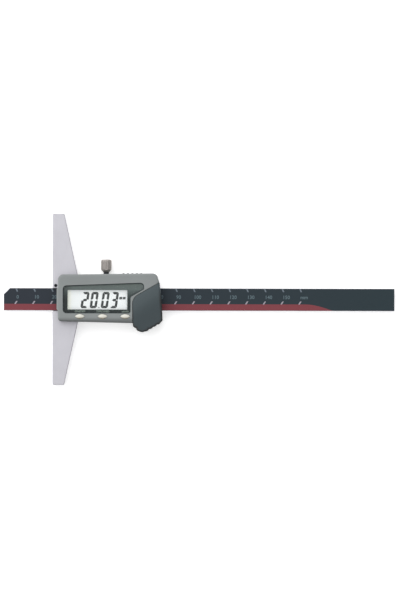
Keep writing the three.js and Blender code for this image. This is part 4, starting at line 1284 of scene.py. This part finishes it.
class GAUGE_OT_clamp_knob(bpy.types.Operator):
    """Turn and knurl the knob of the clamp screw"""

    bl_idname = "gauge.clamp_knob"
    bl_label = "Knurl the clamp knob"

    def execute(self, context):
        metal = context.scene.gauge_metal
        low = low_of("lock_knob")
        high = high_of("lock_knob")
        axis = mid_of("lock_knob")
        radius = (high.x - low.x) / 2
        valley = radius - metal.knurl_depth
        columns = 2 * round(math.pi * radius / metal.knurl_pitch)
        foot = 1.62 * MM
        foot_end = low.y + 1.25 * MM
        knurl_end = high.y - 0.45 * MM
        rows = 2 * round((knurl_end - foot_end) / metal.knurl_pitch)
        step = (knurl_end - foot_end) / rows
        crown_edge = 0.35 * MM
        hollow_depth = 0.25 * MM
        hollow_share = 0.7
        hollow_foot_share = 0.95
        centre = tuple(axis)

        deselect()
        bpy.ops.mesh.primitive_circle_add(vertices=columns, radius=foot, fill_type="NGON",
                                          location=(axis.x, low.y, axis.z), rotation=(math.pi / 2, 0, 0))
        knob = context.object
        knob.name = "clamp_knob_knurled"
        bpy.ops.object.transform_apply(location=True, rotation=True, scale=True)
        edit(knob)
        bpy.ops.mesh.select_all(action="SELECT")
        cone = valley / foot
        crown = (valley - crown_edge) / valley
        steps = [((0, foot_end - low.y, 0), (cone, 1, cone))]
        steps += [((0, step, 0), (1, 1, 1))] * rows
        steps.append(((0, high.y - knurl_end, 0), (crown, 1, crown)))
        steps.append(((0, 0, 0), (hollow_share, 1, hollow_share)))
        steps.append(((0, -hollow_depth, 0), (hollow_foot_share, 1, hollow_foot_share)))
        rings(steps, centre)
        outward()

        def peak(spot, vertex):
            """Find every second point of the knurl's grid, row by row."""
            across = Vector((spot.x - axis.x, spot.z - axis.z))
            if abs(across.length - valley) > CLOSE / 2:
                return False
            column = round(math.atan2(across.y, across.x) * columns / (2 * math.pi))
            row = round((spot.y - foot_end) / step)
            return 0 < row < rows and (column + row) % 2 == 1

        pick(knob, peak, "VERT")
        swell = radius / valley
        bpy.ops.transform.resize(value=(swell, 1, swell), center_override=centre)
        pick(knob, lambda spot, face: foot_end < spot.y < knurl_end and len(face.verts) == 4)
        bpy.ops.mesh.quads_convert_to_tris(quad_method="SHORTEST_DIAGONAL")
        bpy.ops.object.mode_set(mode="OBJECT")
        dress(knob, "lock_screw", "knob_nickel", FINISHES["knob_nickel"], "lock_knob")
        return {"FINISHED"}


class GAUGE_PT_panel(bpy.types.Panel):
    """Sidebar panel that lists the gauge's pieces and their settings"""

    bl_label = "Depth gauge"
    bl_idname = "GAUGE_PT_panel"
    bl_space_type = "VIEW_3D"
    bl_region_type = "UI"
    bl_category = "Depth gauge"

    def draw(self, context):
        layout = self.layout
        for operator in OPERATORS:
            layout.operator(operator.bl_idname)
        for group in SETTINGS:
            settings = getattr(context.scene, group)
            box = layout.box()
            for name in settings.__annotations__:
                box.prop(settings, name)


OPERATORS = (
    GAUGE_OT_own_nodes,
    GAUGE_OT_steel_pieces,
    GAUGE_OT_scale_print,
    GAUGE_OT_display,
    GAUGE_OT_case,
    GAUGE_OT_covers,
    GAUGE_OT_keys,
    GAUGE_OT_clamp_knob,
    GAUGE_OT_stage,
)

SETTINGS = {
    "gauge_scale": GaugeScaleSettings,
    "gauge_display": GaugeDisplaySettings,
    "gauge_case": GaugeCaseSettings,
    "gauge_metal": GaugeMetalSettings,
    "gauge_stage": GaugeStageSettings,
}


def register():
    """Register the settings, the operators and the panel."""
    for name, group in SETTINGS.items():
        bpy.utils.register_class(group)
        setattr(bpy.types.Scene, name, bpy.props.PointerProperty(type=group))
    for kind in (*OPERATORS, GAUGE_PT_panel):
        bpy.utils.register_class(kind)


def unregister():
    """Take away what register added."""
    for kind in reversed((*OPERATORS, GAUGE_PT_panel)):
        bpy.utils.unregister_class(kind)
    for name, group in SETTINGS.items():
        delattr(bpy.types.Scene, name)
        bpy.utils.unregister_class(group)


def main():
    """Dress the gauge piece by piece."""
    register()
    for operator in OPERATORS:
        family, name = operator.bl_idname.split(".")
        getattr(getattr(bpy.ops, family), name)()


if __name__ == "__main__":
    main()
